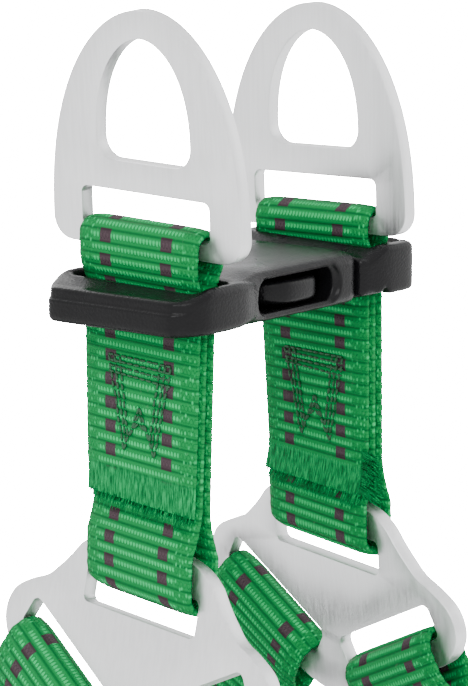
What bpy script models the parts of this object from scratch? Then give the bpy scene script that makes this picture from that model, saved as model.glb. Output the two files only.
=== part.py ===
"""Arborist's climbing saddle, fitted as it sits on a wearer: padded hip belt, two leg loops,
and a front closure of two D-plates on sewn risers joined by a side-release buckle.
Origin at the centre of the hip belt. +X to the wearer's left, -Y to the front, +Z up."""
import math

import bmesh
import bpy
from mathutils import Matrix, Vector

MM = 0.001

# Front closure, measured from the point between the two D-plates' slots
CLOSURE = Vector((0.0, -0.190, 0.310))
WEBBING_WIDTH = 0.044
WEBBING_THICK = 0.0025
TOUCH_GAP = 0.0003
PLATE_THICK = 0.005

# D-plate: heights are counted from the upper edge of its slot
D_TOP = 0.0526
D_BOTTOM = -0.0169
D_HALF_WIDTH = 0.0356
D_EYE_BOTTOM = 0.0088
D_EYE_TOP = 0.0444
D_EYE_HALF_WIDTH = 0.0176
SLOT_LENGTH = 0.048
SLOT_HEIGHT = 0.011
D_BAR_HEIGHT = -0.0144
RISER_SHIFT = 0.0006

# Three-slot plate: heights are counted from the lower edge of its upper slot
DELTA_BAR_HEIGHT = 0.0165
LOWER_SLOT_CENTRE = (0.0267, -0.0198)
LOWER_SLOT_LENGTH = 0.047
LOWER_SLOT_ANGLE = math.radians(29)
LOWER_BAR = 0.0045
STRAP_CLEARANCE = 0.0024
ROUTE_STEPS = 22

# Side-release buckle, along X from the closure point; its middle is off the plates' middle
BUCKLE_Y = -0.0022
BUCKLE_Z = -0.0305
FRAME_HALF_WIDTH = 0.0285
BODY_HALF_WIDTH = 0.0250
FRAME_PLAY = 0.0050
FEMALE_LEFT = -0.0588
FEMALE_OPENING = (-0.0478, -0.0333)
FEMALE_MOUTH = 0.0271
FEMALE_HEIGHT = 0.0125
MALE_FRONT = 0.0277
MALE_OPENING = (0.0368, 0.0510)
MALE_RIGHT = 0.0537
MALE_HEIGHT = 0.0150
MALE_Z = -0.0288
STRAP_EDGE_CUT = 0.0032
PRONG_TIP = -0.0140
WINDOW = (-0.0203, 0.0162)
SOCKET_TURN = math.radians(-2.5)
PLUG_TURN = math.radians(-4.5)

# Hip belt: an open ellipse around the wearer
BELT_A = 0.158
BELT_B = 0.123
BELT_HEIGHT = 0.105
BELT_THICK = 0.016
BELT_FRONT_ANGLE = math.radians(-34)

# Leg loops: rings whose axis is the wearer's thigh
LEG_CENTRE = Vector((0.108, -0.263, -0.060))
LEG_SLOPE = math.radians(35)
LEG_RADIUS = 0.084
LEG_PAD_THICK = 0.014
LEG_PAD_WIDTH = 0.085

SIDES = (("left", -1), ("right", 1))


def clear_scene():
    for old in list(bpy.data.objects):
        bpy.data.objects.remove(old, do_unlink=True)


def new_collection(name):
    collection = bpy.data.collections.new(name)
    bpy.context.scene.collection.children.link(collection)
    return collection


def make_material(name, colour, roughness, metallic=0.0):
    material = bpy.data.materials.new(name)
    material.use_nodes = True
    shader = material.node_tree.nodes["Principled BSDF"]
    shader.inputs["Base Color"].default_value = (*colour, 1.0)
    shader.inputs["Roughness"].default_value = roughness
    shader.inputs["Metallic"].default_value = metallic
    return material


def add_object(name, mesh, material, matrix=None):
    """Link one sub-part into the saddle's collection."""
    item = bpy.data.objects.new(name, mesh)
    saddle.objects.link(item)
    if matrix is not None:
        item.matrix_world = matrix
    mesh.materials.clear()
    mesh.materials.append(material)
    return item


def close_mesh(mesh):
    """Weld the caps of a filled curve and turn every face outwards."""
    shape = bmesh.new()
    shape.from_mesh(mesh)
    bmesh.ops.remove_doubles(shape, verts=shape.verts, dist=1e-6)
    bmesh.ops.recalc_face_normals(shape, faces=shape.faces)
    shape.to_mesh(mesh)
    shape.free()


def extruded(loops, thickness):
    """Mesh of a flat outline with holes, half its thickness to each side of its plane."""
    curve = bpy.data.curves.new("outline", "CURVE")
    curve.dimensions = "2D"
    curve.fill_mode = "BOTH"
    curve.extrude = thickness / 2
    for loop in loops:
        spline = curve.splines.new("POLY")
        spline.points.add(len(loop) - 1)
        spline.use_cyclic_u = True
        for point, (u, v) in zip(spline.points, loop):
            point.co = (u, v, 0, 1)
    holder = bpy.data.objects.new("outline", curve)
    saddle.objects.link(holder)
    bpy.context.view_layer.update()
    mesh = bpy.data.meshes.new_from_object(holder.evaluated_get(bpy.context.evaluated_depsgraph_get()))
    bpy.data.objects.remove(holder, do_unlink=True)
    close_mesh(mesh)
    return mesh


def rounded_box(length, height, radius, centre=(0, 0), turn=0.0, steps=3):
    """Closed outline of a rectangle with round corners."""
    points = []
    corners = ((1, 1, 0), (-1, 1, 90), (-1, -1, 180), (1, -1, 270))
    for side_u, side_v, start in corners:
        for step in range(steps + 1):
            angle = math.radians(start + 90 * step / steps)
            u = side_u * (length / 2 - radius) + radius * math.cos(angle)
            v = side_v * (height / 2 - radius) + radius * math.sin(angle)
            points.append((centre[0] + u * math.cos(turn) - v * math.sin(turn),
                           centre[1] + u * math.sin(turn) + v * math.cos(turn)))
    return points


def arch(half_width, bottom, top, spread, corner, steps=11):
    """Outline with a flat bottom, round corners and an arched top."""
    half = []
    for step in range(4):
        angle = math.radians(-90 + 90 * step / 3)
        half.append((half_width - corner + corner * math.cos(angle),
                     bottom + corner + corner * math.sin(angle)))
    for step in range(1, steps):
        angle = math.radians(90 * step / steps)
        u = half_width * math.cos(angle) ** (2 / spread)
        v = bottom + corner + (top - bottom - corner) * math.sin(angle) ** (2 / 2.25)
        half.append((u, v))
    return half + [(0.0, top)] + [(-u, v) for u, v in reversed(half)]


def smooth_half(points, steps=3):
    """Catmull-Rom curve through half an outline, mirrored to the other half."""
    padded = [(-points[1][0], points[1][1])] + points + [(-points[-2][0], points[-2][1])]
    half = []
    for index in range(1, len(padded) - 2):
        before, start, end, after = (Vector(p) for p in padded[index - 1:index + 3])
        for step in range(steps):
            t = step / steps
            half.append(0.5 * (2 * start + (end - before) * t
                               + (2 * before - 5 * start + 4 * end - after) * t * t
                               + (3 * start - before - 3 * end + after) * t ** 3))
    half.append(Vector(points[-1]))
    return [tuple(p) for p in half] + [(-p[0], p[1]) for p in reversed(half[1:-1])]


def plate_matrix(place, yaw, lean, turn, anchor_height):
    """Frame of an upright plate: u to the front, v up, its outer face towards -X.
    The object's origin is in the middle of the plate's thickness at the anchor height."""
    base = Matrix(((0, 0, -1), (-1, 0, 0), (0, 1, 0))).to_4x4()
    rotation = (Matrix.Rotation(math.radians(yaw), 4, "Z") @ Matrix.Rotation(math.radians(lean), 4, "Y")
                @ base @ Matrix.Rotation(math.radians(turn), 4, "Z"))
    anchor = CLOSURE + Vector(place) + rotation @ Vector((0, anchor_height, -PLATE_THICK / 2))
    return Matrix.Translation(anchor) @ rotation


def shifted(loop, rise):
    return [(u, v + rise) for u, v in loop]


def d_plate_mesh():
    outer = arch(D_HALF_WIDTH, D_BOTTOM, D_TOP, 1.9, 0.007)
    eye = arch(D_EYE_HALF_WIDTH, D_EYE_BOTTOM, D_EYE_TOP, 1.9, 0.006, 8)
    slot_height = 2 * D_BAR_HEIGHT - D_BOTTOM
    slot = rounded_box(SLOT_LENGTH, -slot_height, 0.0022, (0, slot_height / 2))
    return extruded([shifted(loop, -D_BAR_HEIGHT) for loop in (outer, eye, slot)], PLATE_THICK)


def delta_plate_mesh():
    half = [(0, 22.5), (13, 22), (22, 20), (28, 16.5), (32, 12), (36, 8), (41, 3.8), (47.5, 1), (54, -2.8),
            (57.2, -8), (57.2, -14), (53, -20.5), (42, -27.8), (28, -35.6), (14, -43), (0, -46)]
    outer = smooth_half([(u * MM, v * MM) for u, v in half])
    upper = rounded_box(SLOT_LENGTH, SLOT_HEIGHT, 0.002, (0, SLOT_HEIGHT / 2))
    lower = [rounded_box(LOWER_SLOT_LENGTH, SLOT_HEIGHT, 0.0025, (side * LOWER_SLOT_CENTRE[0],
             LOWER_SLOT_CENTRE[1]), side * LOWER_SLOT_ANGLE) for _, side in SIDES]
    return extruded([outer, upper] + lower, PLATE_THICK)


def ribbon(name, stations, width, thickness, material, closed=False, origin=None, fold_at=0):
    """Flat band through stations of centre, width direction and face direction. A doubled band
    mirrors its triangles after the fold, so that its two twisted layers stay side by side."""
    origin = origin or Vector()
    shape = bmesh.new()
    rings = []
    for centre, across, face in stations:
        side, lift = across.normalized() * width / 2, face.normalized() * thickness / 2
        corners = (centre - side - lift, centre + side - lift, centre + side + lift, centre - side + lift)
        rings.append([shape.verts.new(corner - origin) for corner in corners])
    for index, (one, two) in enumerate(zip(rings, rings[1:] + rings[:1] if closed else rings[1:])):
        for k in range(4):
            near, far = one[k], one[(k + 1) % 4]
            next_near, next_far = two[k], two[(k + 1) % 4]
            if (k < 2) == (index < fold_at):
                shape.faces.new((near, far, next_near))
                shape.faces.new((far, next_far, next_near))
            else:
                shape.faces.new((near, far, next_far))
                shape.faces.new((near, next_far, next_near))
    if not closed:
        shape.faces.new(rings[0])
        shape.faces.new(rings[-1])
    bmesh.ops.recalc_face_normals(shape, faces=shape.faces)
    mesh = bpy.data.meshes.new(name)
    shape.to_mesh(mesh)
    shape.free()
    return add_object(name, mesh, material, Matrix.Translation(origin))


def frames_along(points, acrosses):
    """Stations of a band: tangents from the points, faces square to tangent and width."""
    stations = []
    for index, centre in enumerate(points):
        ahead = points[min(index + 1, len(points) - 1)] - points[max(index - 1, 0)]
        face = ahead.cross(acrosses[index]).normalized()
        stations.append((centre, face.cross(ahead).normalized(), face))
    return stations


def hermite(start, start_way, end, end_way, t):
    return ((2 * t ** 3 - 3 * t ** 2 + 1) * start + (t ** 3 - 2 * t ** 2 + t) * start_way
            + (3 * t ** 2 - 2 * t ** 3) * end + (t ** 3 - t ** 2) * end_way)


def folded_strap(name, bar, across, route, acrosses, material):
    """Strap doubled over a bar: two layers down the route, joined by a bend over its start."""
    stations = frames_along(route, acrosses)
    wide = PLATE_THICK / 2 + STRAP_CLEARANCE + WEBBING_THICK / 2
    near = (WEBBING_THICK + 2 * TOUCH_GAP) / 2
    down = (route[1] - route[0]).normalized()
    face = stations[0][2]
    layers = {}
    for side in (-1, 1):
        legs = []
        for index, (centre, width_way, out) in enumerate(stations):
            run = (centre - bar).length
            spread = near + (wide - near) * max(0.0, 1.0 - max(0.0, run - 0.006) / 0.022) ** 2
            legs.append((centre + side * spread * out, width_way, out))
        layers[side] = legs
    bend = []
    for step in range(1, 6):
        angle = math.pi * step / 6
        out = math.cos(angle) * -face - math.sin(angle) * down
        bend.append((route[0] + wide * out, across, -out))
    first = [(centre, width_way, out) for centre, width_way, out in reversed(layers[-1])]
    second = [(centre, width_way, -out) for centre, width_way, out in layers[1]]
    fold = len(first) + len(bend) // 2
    return ribbon(name, first + bend + second, WEBBING_WIDTH, WEBBING_THICK, material, fold_at=fold)


def box_mesh(size):
    shape = bmesh.new()
    bmesh.ops.create_cube(shape, size=1.0)
    bmesh.ops.scale(shape, vec=size, verts=shape.verts)
    mesh = bpy.data.meshes.new("box")
    shape.to_mesh(mesh)
    shape.free()
    return mesh


def carve(item, size, matrix, operation="DIFFERENCE"):
    """Cut a box from a sub-part, or join one to it."""
    tool = bpy.data.objects.new(item.name + "_cutter", box_mesh(size))
    cutters.objects.link(tool)
    tool.matrix_world = matrix
    tool.hide_render = True
    tool.display_type = "WIRE"
    step = item.modifiers.new(operation.lower(), "BOOLEAN")
    step.operation = operation
    step.solver = "EXACT"
    step.object = tool


def frame_at(centre, along, face):
    """Matrix whose x runs along a strap, y across it and z out of its face."""
    along = along.normalized()
    face = (face - along * face.dot(along)).normalized()
    across = face.cross(along)
    matrix = Matrix((along, across, face)).transposed().to_4x4()
    matrix.translation = centre
    return matrix


def sleeve(name, matrix, length, wall, hollow, material):
    """Rectangular loop that a strap runs through along the matrix's x."""
    outer = (length, hollow[0] + 2 * wall, hollow[1] + 2 * wall)
    item = add_object(name, box_mesh(outer), material, matrix)
    carve(item, (length * 2, hollow[0], hollow[1]), matrix)
    return item


def build_closure(metal, webbing, plastic):
    """D-plates, risers, three-slot plates and the buckle between them."""
    d_mesh, delta_mesh = d_plate_mesh(), delta_plate_mesh()
    places = {"left": dict(d=((-0.0413, -0.0008, 0.0), -1.3, -4.5, -1.8),
                           delta=((-0.0533, -0.0074, -0.1213), -8.2, 9.8, -2.5), lap_end=-0.0880),
              "right": dict(d=((0.0413, 0.0008, -0.0028), -3.1, -1.4, 1.1),
                            delta=((0.0440, -0.0030, -0.1237), -12.0, -6.9, -2.9), lap_end=-0.0980)}
    deltas = {}
    for word, side in SIDES:
        place = places[word]
        d_matrix = plate_matrix(*place["d"], D_BAR_HEIGHT)
        add_object("d_plate_" + word, d_mesh.copy(), metal, d_matrix)
        delta_matrix = plate_matrix(*place["delta"], 0.0)
        add_object("delta_plate_" + word, delta_mesh.copy(), metal, delta_matrix)
        deltas[word] = delta_matrix
        build_riser(word, d_matrix, delta_matrix, CLOSURE.z + place["lap_end"], webbing)
    build_buckle(plastic)
    return deltas


def build_riser(word, d_matrix, delta_matrix, lap_end, webbing):
    """Closed webbing loop from the D-plate's slot to the upper slot of the three-slot plate."""
    top = d_matrix @ Vector((RISER_SHIFT, 0, 0))
    bottom = delta_matrix @ Vector((0, DELTA_BAR_HEIGHT, 0))
    top_across = d_matrix.to_3x3() @ Vector((1, 0, 0))
    bottom_across = delta_matrix.to_3x3() @ Vector((1, 0, 0))
    length = (top - bottom).length
    down = (bottom - top).normalized()
    wide_top = 0.0050
    wide_bottom = PLATE_THICK / 2 + 0.0014 + WEBBING_THICK / 2
    close = (WEBBING_THICK + 2 * TOUCH_GAP) / 2
    bar_half = 0.0060

    def spread(run):
        near_top = max(0.0, 1.0 - max(0.0, run - 0.0035) / 0.009) ** 1.4
        near_bottom = max(0.0, 1.0 - max(0.0, length - bar_half - run) / 0.014) ** 1.6
        return close + (wide_top - close) * near_top + (wide_bottom - close) * near_bottom

    def middle(run):
        t = max(0.0, min(1.0, run / length))
        across = top_across.lerp(bottom_across, t).normalized()
        return top + down * run, across, across.cross(down).normalized()

    runs = [0, 0.0035, 0.0060, 0.0090, 0.0125, 0.022, 0.034, 0.050, 0.066, length - 0.020,
            length - 0.014, length - 0.010, length - 0.006, length, length + bar_half * 0.75]
    legs = {}
    for side in (-1, 1):
        legs[side] = []
        for run in runs:
            centre, across, face = middle(run)
            legs[side].append((centre + side * spread(run) * face, across, side * face))
    bends = {}
    for key, run, wide, way in (("top", 0.0, wide_top, -1), ("bottom", runs[-1], wide_bottom, 1)):
        centre, across, face = middle(run)
        bends[key] = []
        for step in range(1, 6):
            angle = math.pi * step / 6
            out = math.cos(angle) * face + math.sin(angle) * way * down
            bends[key].append((centre + wide * out, across, out))
    stations = legs[1] + bends["bottom"] + list(reversed(legs[-1])) + list(reversed(bends["top"]))
    ribbon("riser_" + word, stations, WEBBING_WIDTH, WEBBING_THICK, webbing, closed=True)

    start = 0.0135
    end = (lap_end - top.z) / down.z
    lap = []
    for step in range(9):
        run = start + (end - start) * step / 8
        centre, across, face = middle(run)
        outward = face if face.x < 0 else -face
        offset = close + WEBBING_THICK + TOUCH_GAP + (spread(run) - close)
        lap.append((centre + offset * outward, across, outward))
    ribbon("riser_lap_" + word, lap, WEBBING_WIDTH, WEBBING_THICK, webbing)


def build_buckle(plastic):
    middle = CLOSURE + Vector((0, BUCKLE_Y, BUCKLE_Z))
    frame_mid = (FEMALE_LEFT + FEMALE_OPENING[1] + 0.006) / 2
    frame_length = FEMALE_OPENING[1] + 0.006 - FEMALE_LEFT
    frame = rounded_box(frame_length, 2 * FRAME_HALF_WIDTH, 0.006, (frame_mid, 0))
    hole_length = FEMALE_OPENING[1] - FEMALE_OPENING[0]
    hole = rounded_box(hole_length, WEBBING_WIDTH + FRAME_PLAY, 0.0015,
                       (sum(FEMALE_OPENING) / 2, 0), SOCKET_TURN, steps=2)
    female = add_object("buckle_socket", extruded([frame, hole], FEMALE_HEIGHT), plastic,
                        Matrix.Translation(middle))
    body_start = FEMALE_OPENING[1] + 0.003
    body_mid = Vector(((body_start + FEMALE_MOUTH) / 2, 0, 0))
    carve(female, (FEMALE_MOUTH - body_start, 2 * BODY_HALF_WIDTH, FEMALE_HEIGHT - 0.0005),
          Matrix.Translation(middle + body_mid), "UNION")
    socket = Vector(((WINDOW[0] - 0.002 + FEMALE_MOUTH + 0.004) / 2, 0, 0))
    carve(female, (FEMALE_MOUTH + 0.006 - WINDOW[0], 0.0350, 0.0078), Matrix.Translation(middle + socket))
    window = Vector((sum(WINDOW) / 2, 0, 0))
    carve(female, (WINDOW[1] - WINDOW[0], 3 * BODY_HALF_WIDTH, 0.0070), Matrix.Translation(middle + window))

    male_middle = CLOSURE + Vector((0, BUCKLE_Y, MALE_Z))
    tab = rounded_box(MALE_RIGHT - MALE_FRONT, 2 * FRAME_HALF_WIDTH, 0.006, ((MALE_FRONT + MALE_RIGHT) / 2, 0))
    tab_hole = rounded_box(MALE_OPENING[1] - MALE_OPENING[0], WEBBING_WIDTH + FRAME_PLAY, 0.0015,
                           (sum(MALE_OPENING) / 2, 0), PLUG_TURN, steps=2)
    male = add_object("buckle_plug", extruded([tab, tab_hole], MALE_HEIGHT), plastic,
                      Matrix.Translation(male_middle))
    tongue_tip = 0.0060
    tongue = Vector(((tongue_tip + MALE_FRONT + 0.002) / 2, 0, 0))
    carve(male, (MALE_FRONT + 0.002 - tongue_tip, 0.008, 0.0060), Matrix.Translation(middle + tongue), "UNION")

    for x, z in ((MALE_OPENING[1], MALE_HEIGHT / 2), (MALE_OPENING[0], -MALE_HEIGHT / 2)):
        strap_edge = Matrix.Translation(male_middle + Vector((x, 0, z))) @ Matrix.Rotation(math.pi / 4, 4, "Y")
        carve(male, (STRAP_EDGE_CUT, 3 * FRAME_HALF_WIDTH, STRAP_EDGE_CUT), strap_edge)

    for word, side in (("front", -1), ("rear", 1)):
        root = MALE_FRONT - TOUCH_GAP
        pivot = middle + Vector((root, side * 0.0105, 0))
        outline = [(0, -0.0025), (0, 0.0025), (-0.014, 0.0040), (-0.0190, 0.0125), (-0.0330, 0.0125),
                   (PRONG_TIP - root, 0.0030), (PRONG_TIP - root, -0.0010), (-0.014, -0.0015)]
        mesh = extruded([[(u, side * v) for u, v in outline]], 0.0060)
        add_object("buckle_prong_" + word, mesh, plastic, Matrix.Translation(pivot))


def belt_point(angle, offset, height=0.0):
    """Point, outward direction and forward tangent of the belt's ellipse."""
    outward = Vector((math.cos(angle) / BELT_A, math.sin(angle) / BELT_B, 0)).normalized()
    point = Vector((BELT_A * math.cos(angle), BELT_B * math.sin(angle), height)) + outward * offset
    tangent = Vector((-BELT_A * math.sin(angle), BELT_B * math.cos(angle), 0)).normalized()
    return point, outward, tangent


def belt_band(name, start, end, offset, width, thickness, material, steps):
    stations = []
    for step in range(steps + 1):
        point, outward, _ = belt_point(start + (end - start) * step / steps, offset)
        stations.append((point, Vector((0, 0, 1)), outward))
    return ribbon(name, stations, width, thickness, material)


def leg_frame(side):
    """Directions of a leg loop: outward across the thigh, up off the thigh, and along it."""
    outward = Vector((side, 0, 0))
    along = Vector((0, -math.cos(LEG_SLOPE), -math.sin(LEG_SLOPE)))
    upward = Vector((0, -math.sin(LEG_SLOPE), math.cos(LEG_SLOPE)))
    centre = Vector((side * LEG_CENTRE.x, LEG_CENTRE.y, LEG_CENTRE.z))
    return centre, outward, upward, along


def leg_point(side, degrees, offset):
    centre, outward, upward, along = leg_frame(side)
    angle = math.radians(degrees)
    out = math.cos(angle) * outward + math.sin(angle) * upward
    tangent = -math.sin(angle) * outward + math.cos(angle) * upward
    return centre + (LEG_RADIUS + offset) * out, out, tangent


def leg_band(name, side, start, end, offset, width, thickness, material, steps, closed=False):
    _, _, _, along = leg_frame(side)
    stations = []
    for step in range(steps + (0 if closed else 1)):
        point, out, _ = leg_point(side, start + (end - start) * step / steps, offset)
        stations.append((point, along, out))
    return ribbon(name, stations, width, thickness, material, closed=closed)


def lower_bar(delta_matrix, which):
    """Middle of a lower bar, its slot direction and the way its strap leaves."""
    turn = which * LOWER_SLOT_ANGLE
    drop = Vector((math.sin(turn), -math.cos(turn), 0))
    centre = Vector((which * LOWER_SLOT_CENTRE[0], LOWER_SLOT_CENTRE[1], 0))
    bar = centre + drop * (SLOT_HEIGHT / 2 + LOWER_BAR)
    rotation = delta_matrix.to_3x3()
    across = rotation @ Vector((math.cos(turn), math.sin(turn), 0))
    return delta_matrix @ bar, across.normalized(), (rotation @ drop).normalized()


def build_belt(deltas, webbing, pad, metal, plastic, rubber):
    """Hip belt with its straps, adjusters, side rings, keepers and gear loops."""
    pad_start, pad_end = BELT_FRONT_ANGLE, math.pi - BELT_FRONT_ANGLE
    belt_band("belt_pad", pad_start, pad_end, 0.0, BELT_HEIGHT, BELT_THICK, pad, 30)
    strap_offset = BELT_THICK / 2 + 0.0005 + WEBBING_THICK / 2
    lap = math.radians(11)
    belt_band("belt_strap", pad_start + lap + math.radians(1.5), pad_end - lap - math.radians(1.5),
              strap_offset, WEBBING_WIDTH, WEBBING_THICK, webbing, 28)
    fold_offset = BELT_THICK / 2 + 0.0008 + WEBBING_THICK + TOUCH_GAP
    for word, side in SIDES:
        mirrored = (lambda a: a) if side > 0 else (lambda a: math.pi - a)
        bar, across, drop = lower_bar(deltas[word], -1)
        front_angle = mirrored(pad_start - math.radians(17))
        landing, outward, tangent = belt_point(front_angle, fold_offset)
        tangent = tangent * side
        start = bar - drop * 0.0015
        route, acrosses = [start, start + drop * 0.008], [across, across]
        vertical = Vector((0, 0, 1)) if across.z >= 0 else Vector((0, 0, -1))
        for step in range(1, ROUTE_STEPS + 1):
            t = step / ROUTE_STEPS
            route.append(hermite(start + drop * 0.008, drop * 0.17, landing, tangent * 0.12, t))
            acrosses.append(across.lerp(vertical, t ** 0.8).normalized())
        for step in range(1, 8):
            angle = pad_start + math.radians(28 * step / 7 - 17)
            point, _, _ = belt_point(mirrored(angle), fold_offset)
            route.append(point)
            acrosses.append(vertical)
        folded_strap("hip_strap_" + word, bar, across, route, acrosses, webbing)
        seat, outward, tangent = belt_point(mirrored(pad_start - math.radians(7)), fold_offset)
        build_adjuster("hip_adjuster", word, frame_at(seat, tangent, outward), metal)

        ring_angle = mirrored(0.0)
        build_side_ring(word, ring_angle, side, metal, webbing)
        for number, degrees in enumerate((34, 65), start=1):
            build_gear_loop("gear_loop_%s_%d" % (word, number), mirrored(math.radians(degrees)), rubber)
        keeper_point, keeper_out, keeper_tangent = belt_point(mirrored(math.radians(12)), strap_offset)
        keeper = frame_at(keeper_point, keeper_tangent, keeper_out)
        sleeve_gap = 0.0006
        add_object("belt_keeper_" + word, box_mesh((0.016, 0.052, 0.0022)), plastic,
                   keeper @ Matrix.Translation((0, 0, WEBBING_THICK / 2 + sleeve_gap + 0.0011)))


def build_adjuster(kind, word, hold, metal):
    """Strap adjuster: a frame around the doubled strap and a bar that slides on top of it."""
    layers = 2 * WEBBING_THICK + 2 * TOUCH_GAP
    sleeve(kind + "_" + word, hold, 0.020, 0.0035, (WEBBING_WIDTH + 0.002, layers + 0.0016), metal)
    lift = layers / 2 + 0.0008 + 0.0035 + TOUCH_GAP + 0.0020
    bar = add_object("%s_bar_%s" % (kind, word), box_mesh((0.006, 0.040, 0.004)), metal,
                     hold @ Matrix.Translation((-0.002, 0, lift)))
    bevel = bar.modifiers.new("soft edges", "BEVEL")
    bevel.width = 0.0012
    bevel.segments = 2


def build_side_ring(word, angle, side, metal, webbing):
    """Side ring hung in a folded keeper on the belt's outer face."""
    surface = BELT_THICK / 2 + 0.0005 + WEBBING_THICK + 0.0008
    eye_radius = 0.0058
    point, outward, tangent = belt_point(angle, surface + eye_radius + WEBBING_THICK / 2, -0.004)
    down = Vector((0, 0, -1))
    keeper_width = 0.030
    stations = []
    for height in (0.040, 0.024, 0.012):
        stations.append((point + down * -height - outward * eye_radius, tangent, -outward))
    for step in range(7):
        turn = math.pi * step / 6
        out = -math.cos(turn) * outward + math.sin(turn) * down
        stations.append((point + eye_radius * out, tangent, out))
    gap = WEBBING_THICK + TOUCH_GAP
    for height, inset in ((0.012, 1.0), (0.024, 0.0), (0.040, 0.0)):
        spread = -eye_radius + gap + (2 * eye_radius - gap) * inset
        stations.append((point - down * height + outward * spread, tangent, outward))
    ribbon("ring_keeper_" + word, stations, keeper_width, WEBBING_THICK, webbing)
    size = 0.80
    outer = [(u * size, v * size) for u, v in arch(D_HALF_WIDTH, D_BOTTOM, D_TOP, 1.9, 0.007, 8)]
    inner = [(u * size, v * size) for u, v in arch(D_HALF_WIDTH - 0.008, D_BOTTOM + 0.008, D_TOP - 0.008,
                                                  1.9, 0.005, 8)]
    bar_height = (D_BOTTOM + 0.004) * size
    mesh = extruded([shifted(outer, -bar_height), shifted(inner, -bar_height)], 0.0055)
    matrix = Matrix((tangent, down, tangent.cross(down))).transposed().to_4x4()
    matrix.translation = point
    add_object("side_ring_" + word, mesh, metal, matrix)


def build_gear_loop(name, angle, rubber):
    """Moulded tool loop hanging from the belt's lower edge."""
    span = 0.034
    drop = 0.046
    rod = 0.0032
    offset = BELT_THICK / 2 + 0.0005 + WEBBING_THICK + 0.0008 + rod
    points = []
    for step in range(15):
        turn = math.pi * step / 14
        along = -span * math.cos(turn)
        point, _, _ = belt_point(angle + along / ((BELT_A + BELT_B) / 2), offset + 0.004 * math.sin(turn),
                                 -0.004 - drop * math.sin(turn) ** 0.75)
        points.append(point)
    curve = bpy.data.curves.new(name, "CURVE")
    curve.dimensions = "3D"
    curve.bevel_depth = rod
    curve.bevel_resolution = 1
    curve.use_fill_caps = True
    spline = curve.splines.new("POLY")
    spline.points.add(len(points) - 1)
    for target, point in zip(spline.points, points):
        target.co = (*point, 1)
    curve.materials.append(rubber)
    saddle.objects.link(bpy.data.objects.new(name, curve))


def build_legs(deltas, webbing, pad, metal, elastic):
    """Padded leg loops, the straps that hang them and the elastic straps behind."""
    strap_offset = LEG_PAD_THICK / 2 + 0.0005 + WEBBING_THICK / 2
    fold_offset = strap_offset + WEBBING_THICK / 2 + 0.0017 + WEBBING_THICK + TOUCH_GAP
    for word, side in SIDES:
        leg_band("leg_pad_" + word, side, 172, 372, 0.0, LEG_PAD_WIDTH, LEG_PAD_THICK, pad, 22)
        leg_band("leg_strap_" + word, side, 0, 360, strap_offset, WEBBING_WIDTH, WEBBING_THICK, webbing,
                 34, closed=True)
        bar, across, drop = lower_bar(deltas[word], 1)
        _, _, _, along = leg_frame(side)
        join, _, tangent = leg_point(side, 136, fold_offset)
        start = bar - drop * 0.0015
        width_way = along if across.dot(along) >= 0 else -along
        route, acrosses = [start, start + drop * 0.008], [across, across]
        for step in range(1, ROUTE_STEPS + 1):
            t = step / ROUTE_STEPS
            route.append(hermite(start + drop * 0.008, drop * 0.15, join, tangent * 0.11, t))
            acrosses.append(across.lerp(width_way, min(1.0, 1.3 * t)).normalized())
        for degrees in (142, 148, 154, 160, 166):
            point, _, _ = leg_point(side, degrees, fold_offset)
            route.append(point)
            acrosses.append(width_way)
        folded_strap("leg_riser_" + word, bar, across, route, acrosses, webbing)

        buckle_hollow = WEBBING_THICK + 0.0032
        hold_point, hold_out, hold_tangent = leg_point(side, 60, strap_offset - 0.0003)
        hold = frame_at(hold_point, hold_tangent, hold_out)
        sleeve("leg_buckle_" + word, hold, 0.024, 0.0035, (WEBBING_WIDTH + 0.002, buckle_hollow), metal)
        lift = buckle_hollow / 2 + 0.0035 + TOUCH_GAP + 0.0020
        slider = add_object("leg_buckle_bar_" + word, box_mesh((0.006, 0.040, 0.004)), metal,
                            hold @ Matrix.Translation((-0.004, 0, lift)))
        bevel = slider.modifiers.new("soft edges", "BEVEL")
        bevel.width = 0.0012
        bevel.segments = 2
        build_elastic(word, side, along, elastic)


def build_elastic(word, side, along, elastic):
    """Narrow elastic strap from the belt's lower edge at the back to the leg pad's rear edge."""
    belt_angle = math.radians(62) if side > 0 else math.radians(118)
    start, outward, tangent = belt_point(belt_angle, 0.0, -BELT_HEIGHT / 2 - 0.0030)
    leg_edge, out, leg_tangent = leg_point(side, 290, 0.0)
    end = leg_edge - along * (LEG_PAD_WIDTH / 2 + 0.0030)
    points, acrosses = [], []
    for step in range(13):
        t = step / 12
        points.append(hermite(start, Vector((0, 0, -0.16)), end, along * 0.22, t))
        acrosses.append((tangent * -side).lerp(leg_tangent, t).normalized())
    ribbon("seat_elastic_" + word, frames_along(points, acrosses), 0.020, 0.0020, elastic)


def build():
    metal = make_material("anodised_alloy", (0.80, 0.81, 0.82), 0.35, 1.0)
    steel = make_material("adjuster_alloy", (0.55, 0.56, 0.58), 0.40, 1.0)
    webbing = make_material("green_webbing", (0.0, 0.30, 0.09), 0.80)
    pad = make_material("pad_fabric", (0.03, 0.03, 0.035), 0.90)
    plastic = make_material("buckle_plastic", (0.02, 0.02, 0.022), 0.45)
    rubber = make_material("loop_rubber", (0.03, 0.03, 0.03), 0.60)
    elastic = make_material("elastic_strap", (0.02, 0.02, 0.02), 0.85)
    deltas = build_closure(metal, webbing, plastic)
    build_belt(deltas, webbing, pad, steel, plastic, rubber)
    build_legs(deltas, webbing, pad, steel, elastic)


clear_scene()
saddle = new_collection("tree_climbing_saddle")
cutters = new_collection("cutters")
build()
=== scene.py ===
import math
import random
from bisect import bisect_right

import bmesh
import bpy
from mathutils import Matrix, Vector, noise


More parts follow.
